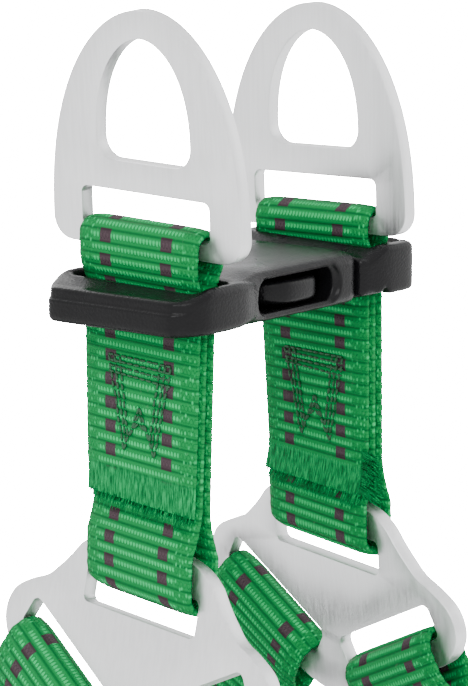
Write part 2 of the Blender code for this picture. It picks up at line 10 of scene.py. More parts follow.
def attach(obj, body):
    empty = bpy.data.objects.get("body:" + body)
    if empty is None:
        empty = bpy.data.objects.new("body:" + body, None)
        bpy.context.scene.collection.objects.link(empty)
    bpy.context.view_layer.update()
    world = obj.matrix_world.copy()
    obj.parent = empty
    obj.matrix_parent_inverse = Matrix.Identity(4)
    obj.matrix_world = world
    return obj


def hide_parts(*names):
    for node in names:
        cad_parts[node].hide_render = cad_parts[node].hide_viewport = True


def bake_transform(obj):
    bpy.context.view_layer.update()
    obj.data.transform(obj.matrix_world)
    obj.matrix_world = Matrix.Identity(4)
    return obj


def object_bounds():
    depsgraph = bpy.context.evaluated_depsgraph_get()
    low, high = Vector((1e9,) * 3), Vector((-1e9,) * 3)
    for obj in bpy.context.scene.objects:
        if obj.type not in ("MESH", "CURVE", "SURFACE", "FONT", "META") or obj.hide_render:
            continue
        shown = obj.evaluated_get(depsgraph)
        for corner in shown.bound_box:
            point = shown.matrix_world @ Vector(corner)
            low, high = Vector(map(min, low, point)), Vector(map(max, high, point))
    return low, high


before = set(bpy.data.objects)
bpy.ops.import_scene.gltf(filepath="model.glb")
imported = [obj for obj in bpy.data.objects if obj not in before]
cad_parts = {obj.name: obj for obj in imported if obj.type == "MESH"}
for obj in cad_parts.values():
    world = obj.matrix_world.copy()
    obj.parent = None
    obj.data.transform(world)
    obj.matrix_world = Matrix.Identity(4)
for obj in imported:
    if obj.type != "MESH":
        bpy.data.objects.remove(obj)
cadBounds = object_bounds()
sides = (("left", -1), ("right", 1))
mm = 0.001

# ---- webbing and strap facts shared by every band ----
webbing = {"width": 0.044, "thick": 0.0025, "ribPitch": 0.0034, "ribDepth": 0.00026, "scallop": 0.0003,
           "gap": 0.0003}
closure = {"centre": Vector((0, -0.190, 0.310)), "plateThick": 0.005, "riserShift": 0.0006,
           "deltaBar": 0.0165, "dBar": -0.0144}
plates = {"left": {"d": ((-0.0413, -0.0008, 0.0), -1.3, -4.5, -1.8),
                   "delta": ((-0.0533, -0.0074, -0.1213), -8.2, 9.8, -2.5), "lapEnd": -0.0880},
          "right": {"d": ((0.0413, 0.0008, -0.0028), -3.1, -1.4, 1.1),
                    "delta": ((0.0440, -0.0030, -0.1237), -12.0, -6.9, -2.9), "lapEnd": -0.0980}}
dShape = {"top": 0.0526, "bottom": -0.0169, "half": 0.0356, "eyeBottom": 0.0088, "eyeTop": 0.0444,
          "eyeHalf": 0.0176, "slotLength": 0.048, "chamfer": 0.0005}
deltaShape = {"slot": (0.048, 0.011), "lower": (0.047, 0.011), "lowerAt": (0.0267, -0.0198),
              "lowerTurn": math.radians(29), "bar": 0.0045, "chamfer": 0.0005}
belt = {"a": 0.158, "b": 0.123, "height": 0.105, "thick": 0.016, "front": math.radians(-34)}
leg = {"centre": Vector((0.108, -0.263, -0.060)), "slope": math.radians(35), "radius": 0.084,
       "thick": 0.014, "width": 0.085}


# ---- shader building ----
def newGroup(name, ins, outs):
    tree = bpy.data.node_groups.new(name, "ShaderNodeTree")
    for label, value in ins:
        socket = tree.interface.new_socket(name=label, in_out="INPUT", socket_type="NodeSocketFloat")
        socket.default_value = value
    for label, kind in outs:
        tree.interface.new_socket(name=label, in_out="OUTPUT", socket_type=kind)
    return tree, tree.nodes.new("NodeGroupInput"), tree.nodes.new("NodeGroupOutput")


def plug(tree, value, socket):
    if isinstance(value, bpy.types.NodeSocket):
        tree.links.new(value, socket)
    elif value is not None:
        socket.default_value = value


def calc(tree, operation, first, second=None, third=None, clamp=False):
    node = tree.nodes.new("ShaderNodeMath")
    node.operation = operation
    node.use_clamp = clamp
    for socket, value in zip(node.inputs, (first, second, third)):
        plug(tree, value, socket)
    return node.outputs[0]


def between(tree, value, low, high, start=0.0, end=1.0):
    node = tree.nodes.new("ShaderNodeMapRange")
    node.interpolation_type = "SMOOTHSTEP"
    for label, what in (("Value", value), ("From Min", low), ("From Max", high), ("To Min", start),
                        ("To Max", end)):
        plug(tree, what, node.inputs[label])
    return node.outputs[0]


def mixColour(tree, factor, one, two, how="MIX"):
    node = tree.nodes.new("ShaderNodeMix")
    node.data_type = "RGBA"
    node.blend_type = how
    plug(tree, factor, node.inputs[0])
    plug(tree, one, node.inputs[6])
    plug(tree, two, node.inputs[7])
    return node.outputs[2]


def noiseOf(tree, where, scale, detail=2.0, stretch=None, rough=0.5):
    if stretch:
        mapping = tree.nodes.new("ShaderNodeMapping")
        mapping.inputs["Scale"].default_value = stretch
        tree.links.new(where, mapping.inputs["Vector"])
        where = mapping.outputs[0]
    node = tree.nodes.new("ShaderNodeTexNoise")
    node.inputs["Scale"].default_value = scale
    node.inputs["Detail"].default_value = detail
    node.inputs["Roughness"].default_value = rough
    tree.links.new(where, node.inputs["Vector"])
    return node.outputs["Fac"]


def place(tree, group, **values):
    node = tree.nodes.new("ShaderNodeGroup")
    node.node_tree = group
    for label, value in values.items():
        plug(tree, value, node.inputs[label])
    return node


def bump(tree, height, distance, strength=1.0, normal=None):
    node = tree.nodes.new("ShaderNodeBump")
    node.inputs["Distance"].default_value = distance
    node.inputs["Strength"].default_value = strength
    tree.links.new(height, node.inputs["Height"])
    if normal:
        tree.links.new(normal, node.inputs["Normal"])
    return node.outputs[0]


def newMaterial(name, colour, roughness, metallic=0.0):
    material = bpy.data.materials.new(name)
    material.use_nodes = True
    tree = material.node_tree
    shader = tree.nodes["Principled BSDF"]
    shader.inputs["Base Color"].default_value = (*colour, 1)
    shader.inputs["Roughness"].default_value = roughness
    shader.inputs["Metallic"].default_value = metallic
    where = tree.nodes.new("ShaderNodeTexCoord")
    return material, tree, shader, where


def ribGroup():
    # ribs across a band with rows of warp floats; u across and v along, in millimetres
    tree, start, end = newGroup("ribbedWeave", (("U", 0), ("V", 0), ("Pitch", 3.4), ("Thread", 1.25)),
                                (("Rib", "NodeSocketFloat"), ("Float", "NodeSocketFloat"),
                                 ("Height", "NodeSocketFloat")))
    row = calc(tree, "DIVIDE", start.outputs["V"], start.outputs["Pitch"])
    rib = calc(tree, "SINE", calc(tree, "MULTIPLY", calc(tree, "FRACT", row), math.pi))
    thread = calc(tree, "DIVIDE", start.outputs["U"], start.outputs["Thread"])
    odd = calc(tree, "MULTIPLY", calc(tree, "FLOOR", row), 0.5)
    across = calc(tree, "FRACT", calc(tree, "ADD", calc(tree, "ADD", thread, odd), 400.0))
    column = calc(tree, "SINE", calc(tree, "MULTIPLY", across, math.pi))
    step = calc(tree, "FRACT", row)
    high = between(tree, step, 0.66, 0.84, 1.0, 0.0)
    narrow = calc(tree, "SUBTRACT", 1.0, between(tree, step, 0.16, 0.62))
    crest = calc(tree, "MULTIPLY", between(tree, step, 0.14, 0.36), high)
    spot = calc(tree, "MULTIPLY", between(tree, calc(tree, "SUBTRACT", column, narrow), 0.10, 0.45), crest)
    tree.links.new(rib, end.inputs["Rib"])
    tree.links.new(spot, end.inputs["Float"])
    height = calc(tree, "ADD", calc(tree, "MULTIPLY", rib, 0.55), calc(tree, "MULTIPLY", spot, 0.45))
    tree.links.new(height, end.inputs["Height"])
    return tree


def dashGroup():
    # two columns of woven tracer dashes
    tree, start, end = newGroup("tracerDashes", (("U", 0), ("V", 0), ("Column", 11.5), ("Half", 2.1),
                                                 ("Period", 6.8), ("Fill", 0.56)),
                                (("Mask", "NodeSocketFloat"),))
    off = calc(tree, "ABSOLUTE", calc(tree, "SUBTRACT", calc(tree, "ABSOLUTE", start.outputs["U"]),
                                      start.outputs["Column"]))
    wide = between(tree, calc(tree, "SUBTRACT", start.outputs["Half"], off), -0.12, 0.12)
    step = calc(tree, "FRACT", calc(tree, "DIVIDE", start.outputs["V"], start.outputs["Period"]))
    tall = calc(tree, "MULTIPLY", between(tree, step, 0.0, 0.03),
                between(tree, calc(tree, "SUBTRACT", start.outputs["Fill"], step), 0.0, 0.03))
    tree.links.new(calc(tree, "MULTIPLY", wide, tall), end.inputs["Mask"])
    return tree


def edgeGroup():
    # the selvedges: short floats that wander, in place of the regular rows; they carry the painted highlight
    tree, start, end = newGroup("selvedgeFloats", (("U", 0), ("V", 0), ("From", 16.4)),
                                (("Mask", "NodeSocketFloat"), ("Float", "NodeSocketFloat")))
    mask = between(tree, calc(tree, "SUBTRACT", calc(tree, "ABSOLUTE", start.outputs["U"]),
                              start.outputs["From"]), -0.3, 0.6)
    pair = tree.nodes.new("ShaderNodeCombineXYZ")
    tree.links.new(calc(tree, "DIVIDE", start.outputs["U"], 1.15), pair.inputs[0])
    tree.links.new(calc(tree, "DIVIDE", start.outputs["V"], 1.9), pair.inputs[1])
    cells = tree.nodes.new("ShaderNodeTexVoronoi")
    cells.inputs["Scale"].default_value = 1.0
    cells.inputs["Randomness"].default_value = 0.55
    tree.links.new(pair.outputs[0], cells.inputs["Vector"])
    tree.links.new(mask, end.inputs["Mask"])
    tree.links.new(between(tree, cells.outputs["Distance"], 0.12, 0.42, 1.0, 0.0), end.inputs["Float"])
    return tree


def wearGroup():
    # slow tone changes and fine lint over a surface
    tree = bpy.data.node_groups.new("toneAndDust", "ShaderNodeTree")
    tree.interface.new_socket(name="Where", in_out="INPUT", socket_type="NodeSocketVector")
    tree.interface.new_socket(name="Tone", in_out="OUTPUT", socket_type="NodeSocketFloat")
    tree.interface.new_socket(name="Lint", in_out="OUTPUT", socket_type="NodeSocketFloat")
    start, end = tree.nodes.new("NodeGroupInput"), tree.nodes.new("NodeGroupOutput")
    slow = noiseOf(tree, start.outputs[0], 35.0, 3.0)
    fine = noiseOf(tree, start.outputs[0], 700.0, 3.0)
    tree.links.new(slow, end.inputs["Tone"])
    tree.links.new(between(tree, fine, 0.60, 0.78), end.inputs["Lint"])
    return tree


ribWeave, tracerDashes, selvedge, toneAndDust = ribGroup(), dashGroup(), edgeGroup(), wearGroup()


def bandMaterial(name, look):
    material, tree, shader, where = newMaterial(name, look["base"], look["rough"])
    split = tree.nodes.new("ShaderNodeSeparateXYZ")
    tree.links.new(where.outputs["UV"], split.inputs[0])
    u, v = split.outputs[0], split.outputs[1]
    weave = place(tree, ribWeave, U=u, V=v, Pitch=look["pitch"], Thread=look["thread"])
    tone = place(tree, toneAndDust, Where=where.outputs["Object"])
    # painted shade: the rib valleys are mixed to the dark colour, the crests to the base colour
    colour = mixColour(tree, between(tree, weave.outputs["Rib"], 0.0, 0.62), (*look["dark"], 1),
                       (*look["base"], 1))
    floats = weave.outputs["Float"]
    if look.get("dash"):
        sides = place(tree, selvedge, U=u, V=v)
        plain = calc(tree, "MULTIPLY", floats, calc(tree, "SUBTRACT", 1.0, sides.outputs["Mask"]))
        floats = calc(tree, "ADD", plain, calc(tree, "MULTIPLY", sides.outputs["Float"], sides.outputs["Mask"]))
    # painted highlight: the thread floats, in rows and at the selvedges, are mixed toward the light colour
    floatHighlight = calc(tree, "MULTIPLY", floats, between(tree, tone.outputs["Tone"], 0.25, 0.75,
                                                                  look["sparkle"] * 0.6, look["sparkle"]))
    colour = mixColour(tree, floatHighlight, colour, (*look["light"], 1))
    if look.get("dash"):
        dash = place(tree, tracerDashes, U=u, V=v)
        # painted shade: the tracer dashes darken to 45% of their colour in the rib valleys
        dashPaintedShade = mixColour(tree, between(tree, weave.outputs["Rib"], 0.0, 0.9),
                           (*[c * 0.45 for c in look["dash"]], 1), (*look["dash"], 1))
        colour = mixColour(tree, dash.outputs["Mask"], colour, dashPaintedShade)
    colour = mixColour(tree, calc(tree, "MULTIPLY", tone.outputs["Lint"], 0.03), colour, (0.6, 0.62, 0.6, 1))
    fringe = tree.nodes.new("ShaderNodeAttribute")
    fringe.attribute_name = "fringe"
    streak = noiseOf(tree, where.outputs["UV"], 1.0, 3.0, (2.6, 0.22, 1.0), 0.6)
    fibres = mixColour(tree, between(tree, streak, 0.40, 0.64), (*look["dark"], 1),
                       (*[(a + b) / 2 for a, b in zip(look["base"], look["light"])], 1))
    colour = mixColour(tree, fringe.outputs["Fac"], colour, fibres)
    bare = calc(tree, "SUBTRACT", 1.0, fringe.outputs["Fac"])
    relief = calc(tree, "ADD", calc(tree, "MULTIPLY", weave.outputs["Height"], bare),
                  calc(tree, "MULTIPLY", streak, fringe.outputs["Fac"]))
    tree.links.new(colour, shader.inputs["Base Color"])
    tree.links.new(between(tree, tone.outputs["Tone"], 0.2, 0.8, look["rough"] - 0.08, look["rough"] + 0.08),
                   shader.inputs["Roughness"])
    shader.inputs["Specular IOR Level"].default_value = 0.07
    tree.links.new(bump(tree, relief, look["relief"], 0.9), shader.inputs["Normal"])
    return material


def alloyMaterial(name, look):
    material, tree, shader, where = newMaterial(name, look["colour"], look["rough"], 1.0)
    brush = noiseOf(tree, where.outputs["Object"], 1.0, 4.0, look["brush"], 0.6)
    cloud = noiseOf(tree, where.outputs["Object"], 28.0, 3.0)
    grit = noiseOf(tree, where.outputs["Object"], 1500.0, 2.0)
    low, high = [c * 0.95 for c in look["colour"]], [min(1.0, c * 1.03) for c in look["colour"]]
    colour = mixColour(tree, between(tree, brush, 0.3, 0.7), (*low, 1), (*high, 1))
    tree.links.new(colour, shader.inputs["Base Color"])
    rough = calc(tree, "ADD", between(tree, brush, 0.25, 0.75, look["rough"] - 0.06, look["rough"] + 0.06),
                 between(tree, cloud, 0.3, 0.7, -0.03, 0.03))
    tree.links.new(rough, shader.inputs["Roughness"])
    relief = calc(tree, "ADD", calc(tree, "MULTIPLY", brush, 0.8), calc(tree, "MULTIPLY", grit, 0.35))
    tree.links.new(bump(tree, relief, look["relief"], 0.6), shader.inputs["Normal"])
    return material


def plasticMaterial(name, look):
    material, tree, shader, where = newMaterial(name, look["colour"], look["rough"])
    grain = noiseOf(tree, where.outputs["Object"], look["grain"], 2.0)
    cloud = noiseOf(tree, where.outputs["Object"], 40.0, 3.0)
    scuff = between(tree, noiseOf(tree, where.outputs["Object"], 130.0, 6.0, (1, 0.35, 1), 0.7), 0.56, 0.72)
    light = [c * 2.2 + 0.004 for c in look["colour"]]
    colour = mixColour(tree, calc(tree, "MULTIPLY", scuff, 0.35), (*look["colour"], 1), (*light, 1))
    tree.links.new(colour, shader.inputs["Base Color"])
    tree.links.new(between(tree, cloud, 0.3, 0.7, look["rough"] - 0.07, look["rough"] + 0.09),
                   shader.inputs["Roughness"])
    shader.inputs["Specular IOR Level"].default_value = 0.15
    tree.links.new(bump(tree, grain, look["relief"], 0.5), shader.inputs["Normal"])
    return material


def clothMaterial(name, look):
    # plain weave read from the piece's own UV, in millimetres
    material, tree, shader, where = newMaterial(name, look["colour"], 0.9)
    split = tree.nodes.new("ShaderNodeSeparateXYZ")
    tree.links.new(where.outputs["UV"], split.inputs[0])
    waves = []
    for socket in (split.outputs[0], split.outputs[1]):
        turn = calc(tree, "MULTIPLY", socket, 2 * math.pi / look["thread"])
        waves.append(calc(tree, "SINE", turn))
    weave = calc(tree, "MULTIPLY", waves[0], waves[1])
    tone = place(tree, toneAndDust, Where=where.outputs["Object"])
    # painted shade and highlight: the weave crossings are mixed between a darker copy of the cloth colour and a lighter
    # one
    colour = mixColour(tree, between(tree, weave, -0.8, 0.9), (*[c * 0.55 for c in look["colour"]], 1),
                       (*look["light"], 1))
    colour = mixColour(tree, calc(tree, "MULTIPLY", tone.outputs["Lint"], 0.22), colour, (0.30, 0.30, 0.30, 1))
    tree.links.new(colour, shader.inputs["Base Color"])
    tree.links.new(between(tree, tone.outputs["Tone"], 0.2, 0.8, 0.78, 0.95), shader.inputs["Roughness"])
    shader.inputs["Sheen Weight"].default_value = 0.3
    tree.links.new(bump(tree, weave, look["relief"], 0.8), shader.inputs["Normal"])
    return material


# in these looks, dark is the painted shade of the rib valleys
# in these looks, light is the painted highlight on the thread floats
bandLooks = {
    "harnessWebbing": {"base": (0.000, 0.185, 0.042), "dark": (0.000, 0.090, 0.020), "light": (0.000, 0.50, 0.14),
                       "dash": (0.055, 0.036, 0.044), "rough": 0.62, "pitch": 3.4, "thread": 1.25,
                       "sparkle": 0.85, "relief": 0.0008},
    "elasticBand": {"base": (0.022, 0.022, 0.024), "dark": (0.006, 0.006, 0.007), "light": (0.06, 0.06, 0.065),
                    "rough": 0.75, "pitch": 1.6, "thread": 0.9, "sparkle": 0.4, "relief": 0.0004},
    "bindingTape": {"base": (0.020, 0.020, 0.022), "dark": (0.006, 0.006, 0.007), "light": (0.07, 0.07, 0.075),
                    "rough": 0.8, "pitch": 1.1, "thread": 1.1, "sparkle": 0.4, "relief": 0.0003}}
harnessWebbing = bandMaterial("harnessWebbing", bandLooks["harnessWebbing"])
elasticBand = bandMaterial("elasticBand", bandLooks["elasticBand"])
bindingTape = bandMaterial("bindingTape", bandLooks["bindingTape"])
plateAlloy = alloyMaterial("plateAlloy", {"colour": (0.80, 0.805, 0.815), "rough": 0.42,
                                          "brush": (900, 900, 30), "relief": 0.00006})
greyAlloy = alloyMaterial("greyAlloy", {"colour": (0.36, 0.37, 0.39), "rough": 0.38,
                                        "brush": (500, 500, 60), "relief": 0.00004})
buckleBlack = plasticMaterial("buckleBlack", {"colour": (0.0032, 0.0032, 0.0037), "rough": 0.27,
                                              "grain": 1300.0, "relief": 0.00022})
loopRubber = plasticMaterial("loopRubber", {"colour": (0.016, 0.016, 0.017), "rough": 0.55,
                                            "grain": 900.0, "relief": 0.00012})
shellCloth = clothMaterial("shellCloth", {"colour": (0.020, 0.020, 0.022), "light": (0.050, 0.050, 0.054),
                                          "thread": 0.9, "relief": 0.0003})
liningMesh = clothMaterial("liningMesh", {"colour": (0.012, 0.013, 0.014), "light": (0.065, 0.068, 0.070),
                                          "thread": 3.2, "relief": 0.0011})
greenThread, threadTree, threadShader, threadWhere = newMaterial("greenThread", (0.0, 0.062, 0.016), 0.55)
threadTree.links.new(bump(threadTree, noiseOf(threadTree, threadWhere.outputs["Object"], 2200.0, 2.0), 0.0002),
                     threadShader.inputs["Normal"])
blackThread, blackTree, blackShader, blackWhere = newMaterial("blackThread", (0.05, 0.05, 0.052), 0.6)
blackTree.links.new(bump(blackTree, noiseOf(blackTree, blackWhere.outputs["Object"], 2200.0, 2.0), 0.0002),
                    blackShader.inputs["Normal"])
print("materials made")


# ---- shared shape helpers ----
def addPiece(name, mesh, material, body, slotName, *replaced):
    piece = bpy.data.objects.new(name, mesh)
    bpy.context.scene.collection.objects.link(piece)
    mesh.materials.clear()
    mesh.materials.append(material)
    mesh.shade_smooth()
    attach(piece, body)
    if replaced:
        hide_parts(*replaced)
    return piece


def meshFrom(shape, name):
    mesh = bpy.data.meshes.new(name)
    shape.to_mesh(mesh)
    shape.free()
    return mesh


def plateFrame(where, yaw, lean, turn, height):
    base = Matrix(((0, 0, -1), (-1, 0, 0), (0, 1, 0))).to_4x4()
    rotation = (Matrix.Rotation(math.radians(yaw), 4, "Z") @ Matrix.Rotation(math.radians(lean), 4, "Y")
                @ base @ Matrix.Rotation(math.radians(turn), 4, "Z"))
    anchor = rotation @ Vector((0, height, -closure["plateThick"] / 2))
    return Matrix.Translation(closure["centre"] + Vector(where) + anchor) @ rotation


dFrames = {word: plateFrame(*plates[word]["d"], closure["dBar"]) for word, _ in sides}
deltaFrames = {word: plateFrame(*plates[word]["delta"], 0.0) for word, _ in sides}


def roundedBox(length, height, radius, centre=(0, 0), turn=0.0, steps=8):
    points = []
    for signU, signV, start in ((1, 1, 0), (-1, 1, 90), (-1, -1, 180), (1, -1, 270)):
        for step in range(steps + 1):
            angle = math.radians(start + 90 * step / steps)
            u = signU * (length / 2 - radius) + radius * math.cos(angle)
            v = signV * (height / 2 - radius) + radius * math.sin(angle)
            points.append((centre[0] + u * math.cos(turn) - v * math.sin(turn),
                           centre[1] + u * math.sin(turn) + v * math.cos(turn)))
    return points


def archOutline(half, bottom, top, spread, corner, steps=34):
    right = []
    for step in range(9):
        angle = math.radians(-90 + 90 * step / 8)
        right.append((half - corner + corner * math.cos(angle), bottom + corner + corner * math.sin(angle)))
    for step in range(1, steps):
        angle = math.radians(90 * step / steps)
        rise = (top - bottom - corner) * math.sin(angle) ** (2 / 2.25)
        right.append((half * math.cos(angle) ** (2 / spread), bottom + corner + rise))
    return right + [(0.0, top)] + [(-u, v) for u, v in reversed(right)]


def smoothOutline(half, steps=9):
    ends = [(-half[1][0], half[1][1])] + half + [(-half[-2][0], half[-2][1])]
    right = []
    for index in range(1, len(ends) - 2):
        before, start, end, after = (Vector(p) for p in ends[index - 1:index + 3])
        for step in range(steps):
            right.append(curvePoint(before, start, end, after, step / steps))
    right.append(Vector(half[-1]))
    return [tuple(p) for p in right] + [(-p[0], p[1]) for p in reversed(right[1:-1])]


def curvePoint(before, start, end, after, t):
    return 0.5 * (2 * start + (end - before) * t + (2 * before - 5 * start + 4 * end - after) * t * t
                  + (3 * start - before - 3 * end + after) * t ** 3)


def cutSheet(loops, thick, chamfer, matrix, segments=2):
    # a flat plate with holes: filled outline, extruded, its edges bevelled
    shape = bmesh.new()
    for loop in loops:
        corners = [shape.verts.new((u, v, -thick / 2)) for u, v in loop]
        for one, two in zip(corners, corners[1:] + corners[:1]):
            shape.edges.new((one, two))
    bmesh.ops.triangle_fill(shape, use_beauty=True, edges=shape.edges[:])
    bmesh.ops.recalc_face_normals(shape, faces=shape.faces[:])
    made = bmesh.ops.extrude_face_region(shape, geom=shape.faces[:])
    moved = [item for item in made["geom"] if isinstance(item, bmesh.types.BMVert)]
    bmesh.ops.translate(shape, vec=(0, 0, thick), verts=moved)
    bmesh.ops.recalc_face_normals(shape, faces=shape.faces[:])
    rims = [edge for edge in shape.edges if chamfer and len(edge.link_faces) == 2
            and edge.calc_face_angle(0.0) > math.radians(60)
            and abs(edge.verts[0].co.z - edge.verts[1].co.z) < thick / 4]
    bmesh.ops.bevel(shape, geom=rims, offset=chamfer, segments=segments, profile=0.5, affect="EDGES",
                    material=-1, offset_type="OFFSET")
    bmesh.ops.transform(shape, matrix=matrix, verts=shape.verts[:])
    return shape


def makePath(stations, closed=False):
    lengths = [0.0]
    points = stations + stations[:1] if closed else stations
    for one, two in zip(points, points[1:]):
        lengths.append(lengths[-1] + (two[0] - one[0]).length)
    return {"stations": stations, "lengths": lengths, "total": lengths[-1], "closed": closed}


def pathAt(path, distance):
    count = len(path["stations"])
    index = min(bisect_right(path["lengths"], distance) - 1, len(path["lengths"]) - 2)
    index = max(index, 0)
    span = path["lengths"][index + 1] - path["lengths"][index]
    t = (distance - path["lengths"][index]) / span if span > 1e-9 else 0.0
    if path["closed"]:
        picks = [path["stations"][(index + k) % count] for k in (-1, 0, 1, 2)]
    else:
        picks = [path["stations"][max(0, min(count - 1, index + k))] for k in (-1, 0, 1, 2)]
    centre = curvePoint(*[pick[0] for pick in picks], t)
    across = picks[1][1].lerp(picks[2][1], t).normalized()
    face = picks[1][2].lerp(picks[2][2], t).normalized()
    return centre, across, face


def ease(value, low, high):
    t = max(0.0, min(1.0, (value - low) / (high - low)))
    return t * t * (3 - 2 * t)


def bandMesh(name, path, width, thick, look, press=None, fringeFrom=1e9):
    # a long box grid laid along the path, with ribs, rounded selvedges and optional sewn-in grooves
    pitch, depth, scallop = look["ribPitch"], look["ribDepth"], look["scallop"]
    total = path["total"]
    if path["closed"]:
        pitch = total / round(total / pitch)
    along = max(8, int(total / pitch * look.get("perRib", 6)))
    shape = bmesh.new()
    bmesh.ops.create_cube(shape, size=1.0)
    bmesh.ops.translate(shape, vec=(0.5, 0, 0), verts=shape.verts)
    for axis, cuts in ((0, along - 1), (1, look.get("across", 24) - 1), (2, 1)):
        runs = [edge for edge in shape.edges
                if abs((edge.verts[0].co - edge.verts[1].co)[axis]) > 1e-6]
        bmesh.ops.subdivide_edges(shape, edges=runs, cuts=cuts, use_grid_fill=True)
    if path["closed"]:
        ends = [face for face in shape.faces if all(abs(v.co.x) < 1e-6 for v in face.verts)
                or all(abs(v.co.x - 1) < 1e-6 for v in face.verts)]
        bmesh.ops.delete(shape, geom=ends, context="FACES_ONLY")
    uvLayer = shape.loops.layers.uv.new("UVMap")
    for face in shape.faces:
        for loop in face.loops:
            co = loop.vert.co
            loop[uvLayer].uv = (co.y * width / mm, co.x * total / mm)
    fringeLayer = shape.verts.layers.float.new("fringe")
    cache = {}
    for vert in shape.verts:
        s, a, side = vert.co.x * total, vert.co.y * 2, vert.co.z * 2
        key = round(s, 7)
        if key not in cache:
            cache[key] = pathAt(path, min(s, total - 1e-7))
        centre, across, face = cache[key]
        rib = abs(math.sin(math.pi * s / pitch)) ** 0.7
        loose = ease(s, fringeFrom - 0.0012, fringeFrom + 0.0012)
        vert[fringeLayer] = loose
        half = thick / 2 * max(0.42, (1 - abs(a) ** 9) ** 0.5)
        firm = (1 - 0.55 * ease(abs(a), 0.74, 0.86)) * (1 - loose)
        lift = side * (half * (1 - 0.25 * loose) + depth * firm * (rib - 0.6))
        if press and abs(side) > 0.5:
            lift -= side * press(a * width / 2, s, side)
        bulge = scallop * (rib - 0.5) * max(0.0, abs(a) - 0.85) / 0.15
        reach = a * width / 2 + math.copysign(bulge, a)
        vert.co = centre + across * reach + face * lift
    if path["closed"]:
        bmesh.ops.remove_doubles(shape, verts=shape.verts[:], dist=2e-5)
    bmesh.ops.recalc_face_normals(shape, faces=shape.faces[:])
    return meshFrom(shape, name)


def orient(points, acrosses):
    stations = []
    for index, centre in enumerate(points):
        ahead = points[min(index + 1, len(points) - 1)] - points[max(index - 1, 0)]
        face = ahead.cross(acrosses[index]).normalized()
        stations.append((centre, face.cross(ahead).normalized(), face))
    return stations


def hermite(start, startWay, end, endWay, t):
    return ((2 * t ** 3 - 3 * t ** 2 + 1) * start + (t ** 3 - 2 * t ** 2 + t) * startWay
            + (3 * t ** 2 - 2 * t ** 3) * end + (t ** 3 - t ** 2) * endWay)


# ---- plates ----
def makePlates():
    slotHeight = 2 * closure["dBar"] - dShape["bottom"]
    loops = [archOutline(dShape["half"], dShape["bottom"], dShape["top"], 1.9, 0.007),
             archOutline(dShape["eyeHalf"], dShape["eyeBottom"], dShape["eyeTop"], 1.9, 0.006, 26),
             roundedBox(dShape["slotLength"], -slotHeight, 0.0022, (0, slotHeight / 2))]
    loops = [[(u, v - closure["dBar"]) for u, v in loop] for loop in loops]
    half = [(0, 22.5), (13, 22), (22, 20), (28, 16.5), (32, 12), (36, 8), (41, 3.8), (47.5, 1), (54, -2.8),
            (57.2, -8), (57.2, -14), (53, -20.5), (42, -27.8), (28, -35.6), (14, -43), (0, -46)]
    deltaLoops = [smoothOutline([(u * mm, v * mm) for u, v in half]),
                  roundedBox(*deltaShape["slot"], 0.002, (0, deltaShape["slot"][1] / 2))]
    for _, side in sides:
        deltaLoops.append(roundedBox(*deltaShape["lower"], 0.0025,
                                     (side * deltaShape["lowerAt"][0], deltaShape["lowerAt"][1]),
                                     side * deltaShape["lowerTurn"]))
    for word, _ in sides:
        for kind, outline, frameOf, body in (("dPlate", loops, dFrames, "d_"),
                                             ("deltaPlate", deltaLoops, deltaFrames, "riser_")):
            shape = cutSheet(outline, closure["plateThick"], dShape["chamfer"], frameOf[word])
            node = ("d_plate_" if kind == "dPlate" else "delta_plate_") + word
            piece = addPiece(kind + word.capitalize(), meshFrom(shape, kind), plateAlloy, body + word,
                             "plate_alloy", node)
            piece.data.set_sharp_from_angle(angle=math.radians(28))


makePlates()
print("plates made")


# ---- risers ----
def riserParts(word):
    top = dFrames[word] @ Vector((closure["riserShift"], 0, 0))
    bottom = deltaFrames[word] @ Vector((0, closure["deltaBar"], 0))
    topAcross = dFrames[word].to_3x3() @ Vector((1, 0, 0))
    bottomAcross = deltaFrames[word].to_3x3() @ Vector((1, 0, 0))
    length, down = (top - bottom).length, (bottom - top).normalized()
    wide = {"top": 0.0050, "bottom": closure["plateThick"] / 2 + 0.0014 + webbing["thick"] / 2}
    slack = {"left": 0.0064, "right": 0.0050}[word]
    close = (webbing["thick"] + 2 * webbing["gap"]) / 2
    barHalf = 0.0060

    def spread(run, outside=False):
        nearTop = max(0.0, 1.0 - max(0.0, run - 0.0035) / 0.009) ** 1.4
        nearBottom = max(0.0, 1.0 - max(0.0, length - barHalf - run) / 0.014) ** 1.6
        reach = (wide["top"] - close) * nearTop
        if outside and slack > wide["top"]:
            reach = (slack - close) * (1 - ease(run, 0.0055, 0.0190))
        return close + reach + (wide["bottom"] - close) * nearBottom

    def middle(run):
        across = topAcross.lerp(bottomAcross, max(0.0, min(1.0, run / length))).normalized()
        return top + down * run, across, across.cross(down).normalized()

    return {"length": length, "down": down, "wide": wide, "close": close, "spread": spread, "middle": middle,
            "end": length + barHalf * 0.75, "topZ": top.z}


def riserStations(parts):
    runs = [parts["end"] * step / 60 for step in range(61)]
    legs = {side: [] for side in (-1, 1)}
    for side in legs:
        for run in runs:
            centre, across, face = parts["middle"](run)
            offset = parts["spread"](run, side * face.x < 0)
            legs[side].append((centre + side * offset * face, across, side * face))
    bends = {}
    for key, run, way in (("top", 0.0, -1), ("bottom", runs[-1], 1)):
        centre, across, face = parts["middle"](run)
        bends[key] = []
        for step in range(1, 12):
            angle = math.pi * step / 12
            out = math.cos(angle) * face + math.sin(angle) * way * parts["down"]
            reach = parts["spread"](run, (math.cos(angle) * face).x < 0) if key == "top" else parts["wide"][key]
            place = centre + math.cos(angle) * face * reach + math.sin(angle) * way * parts["down"] * parts["wide"][key]
            bends[key].append((place, across, out))
    return legs[1] + bends["bottom"] + list(reversed(legs[-1])) + list(reversed(bends["top"]))


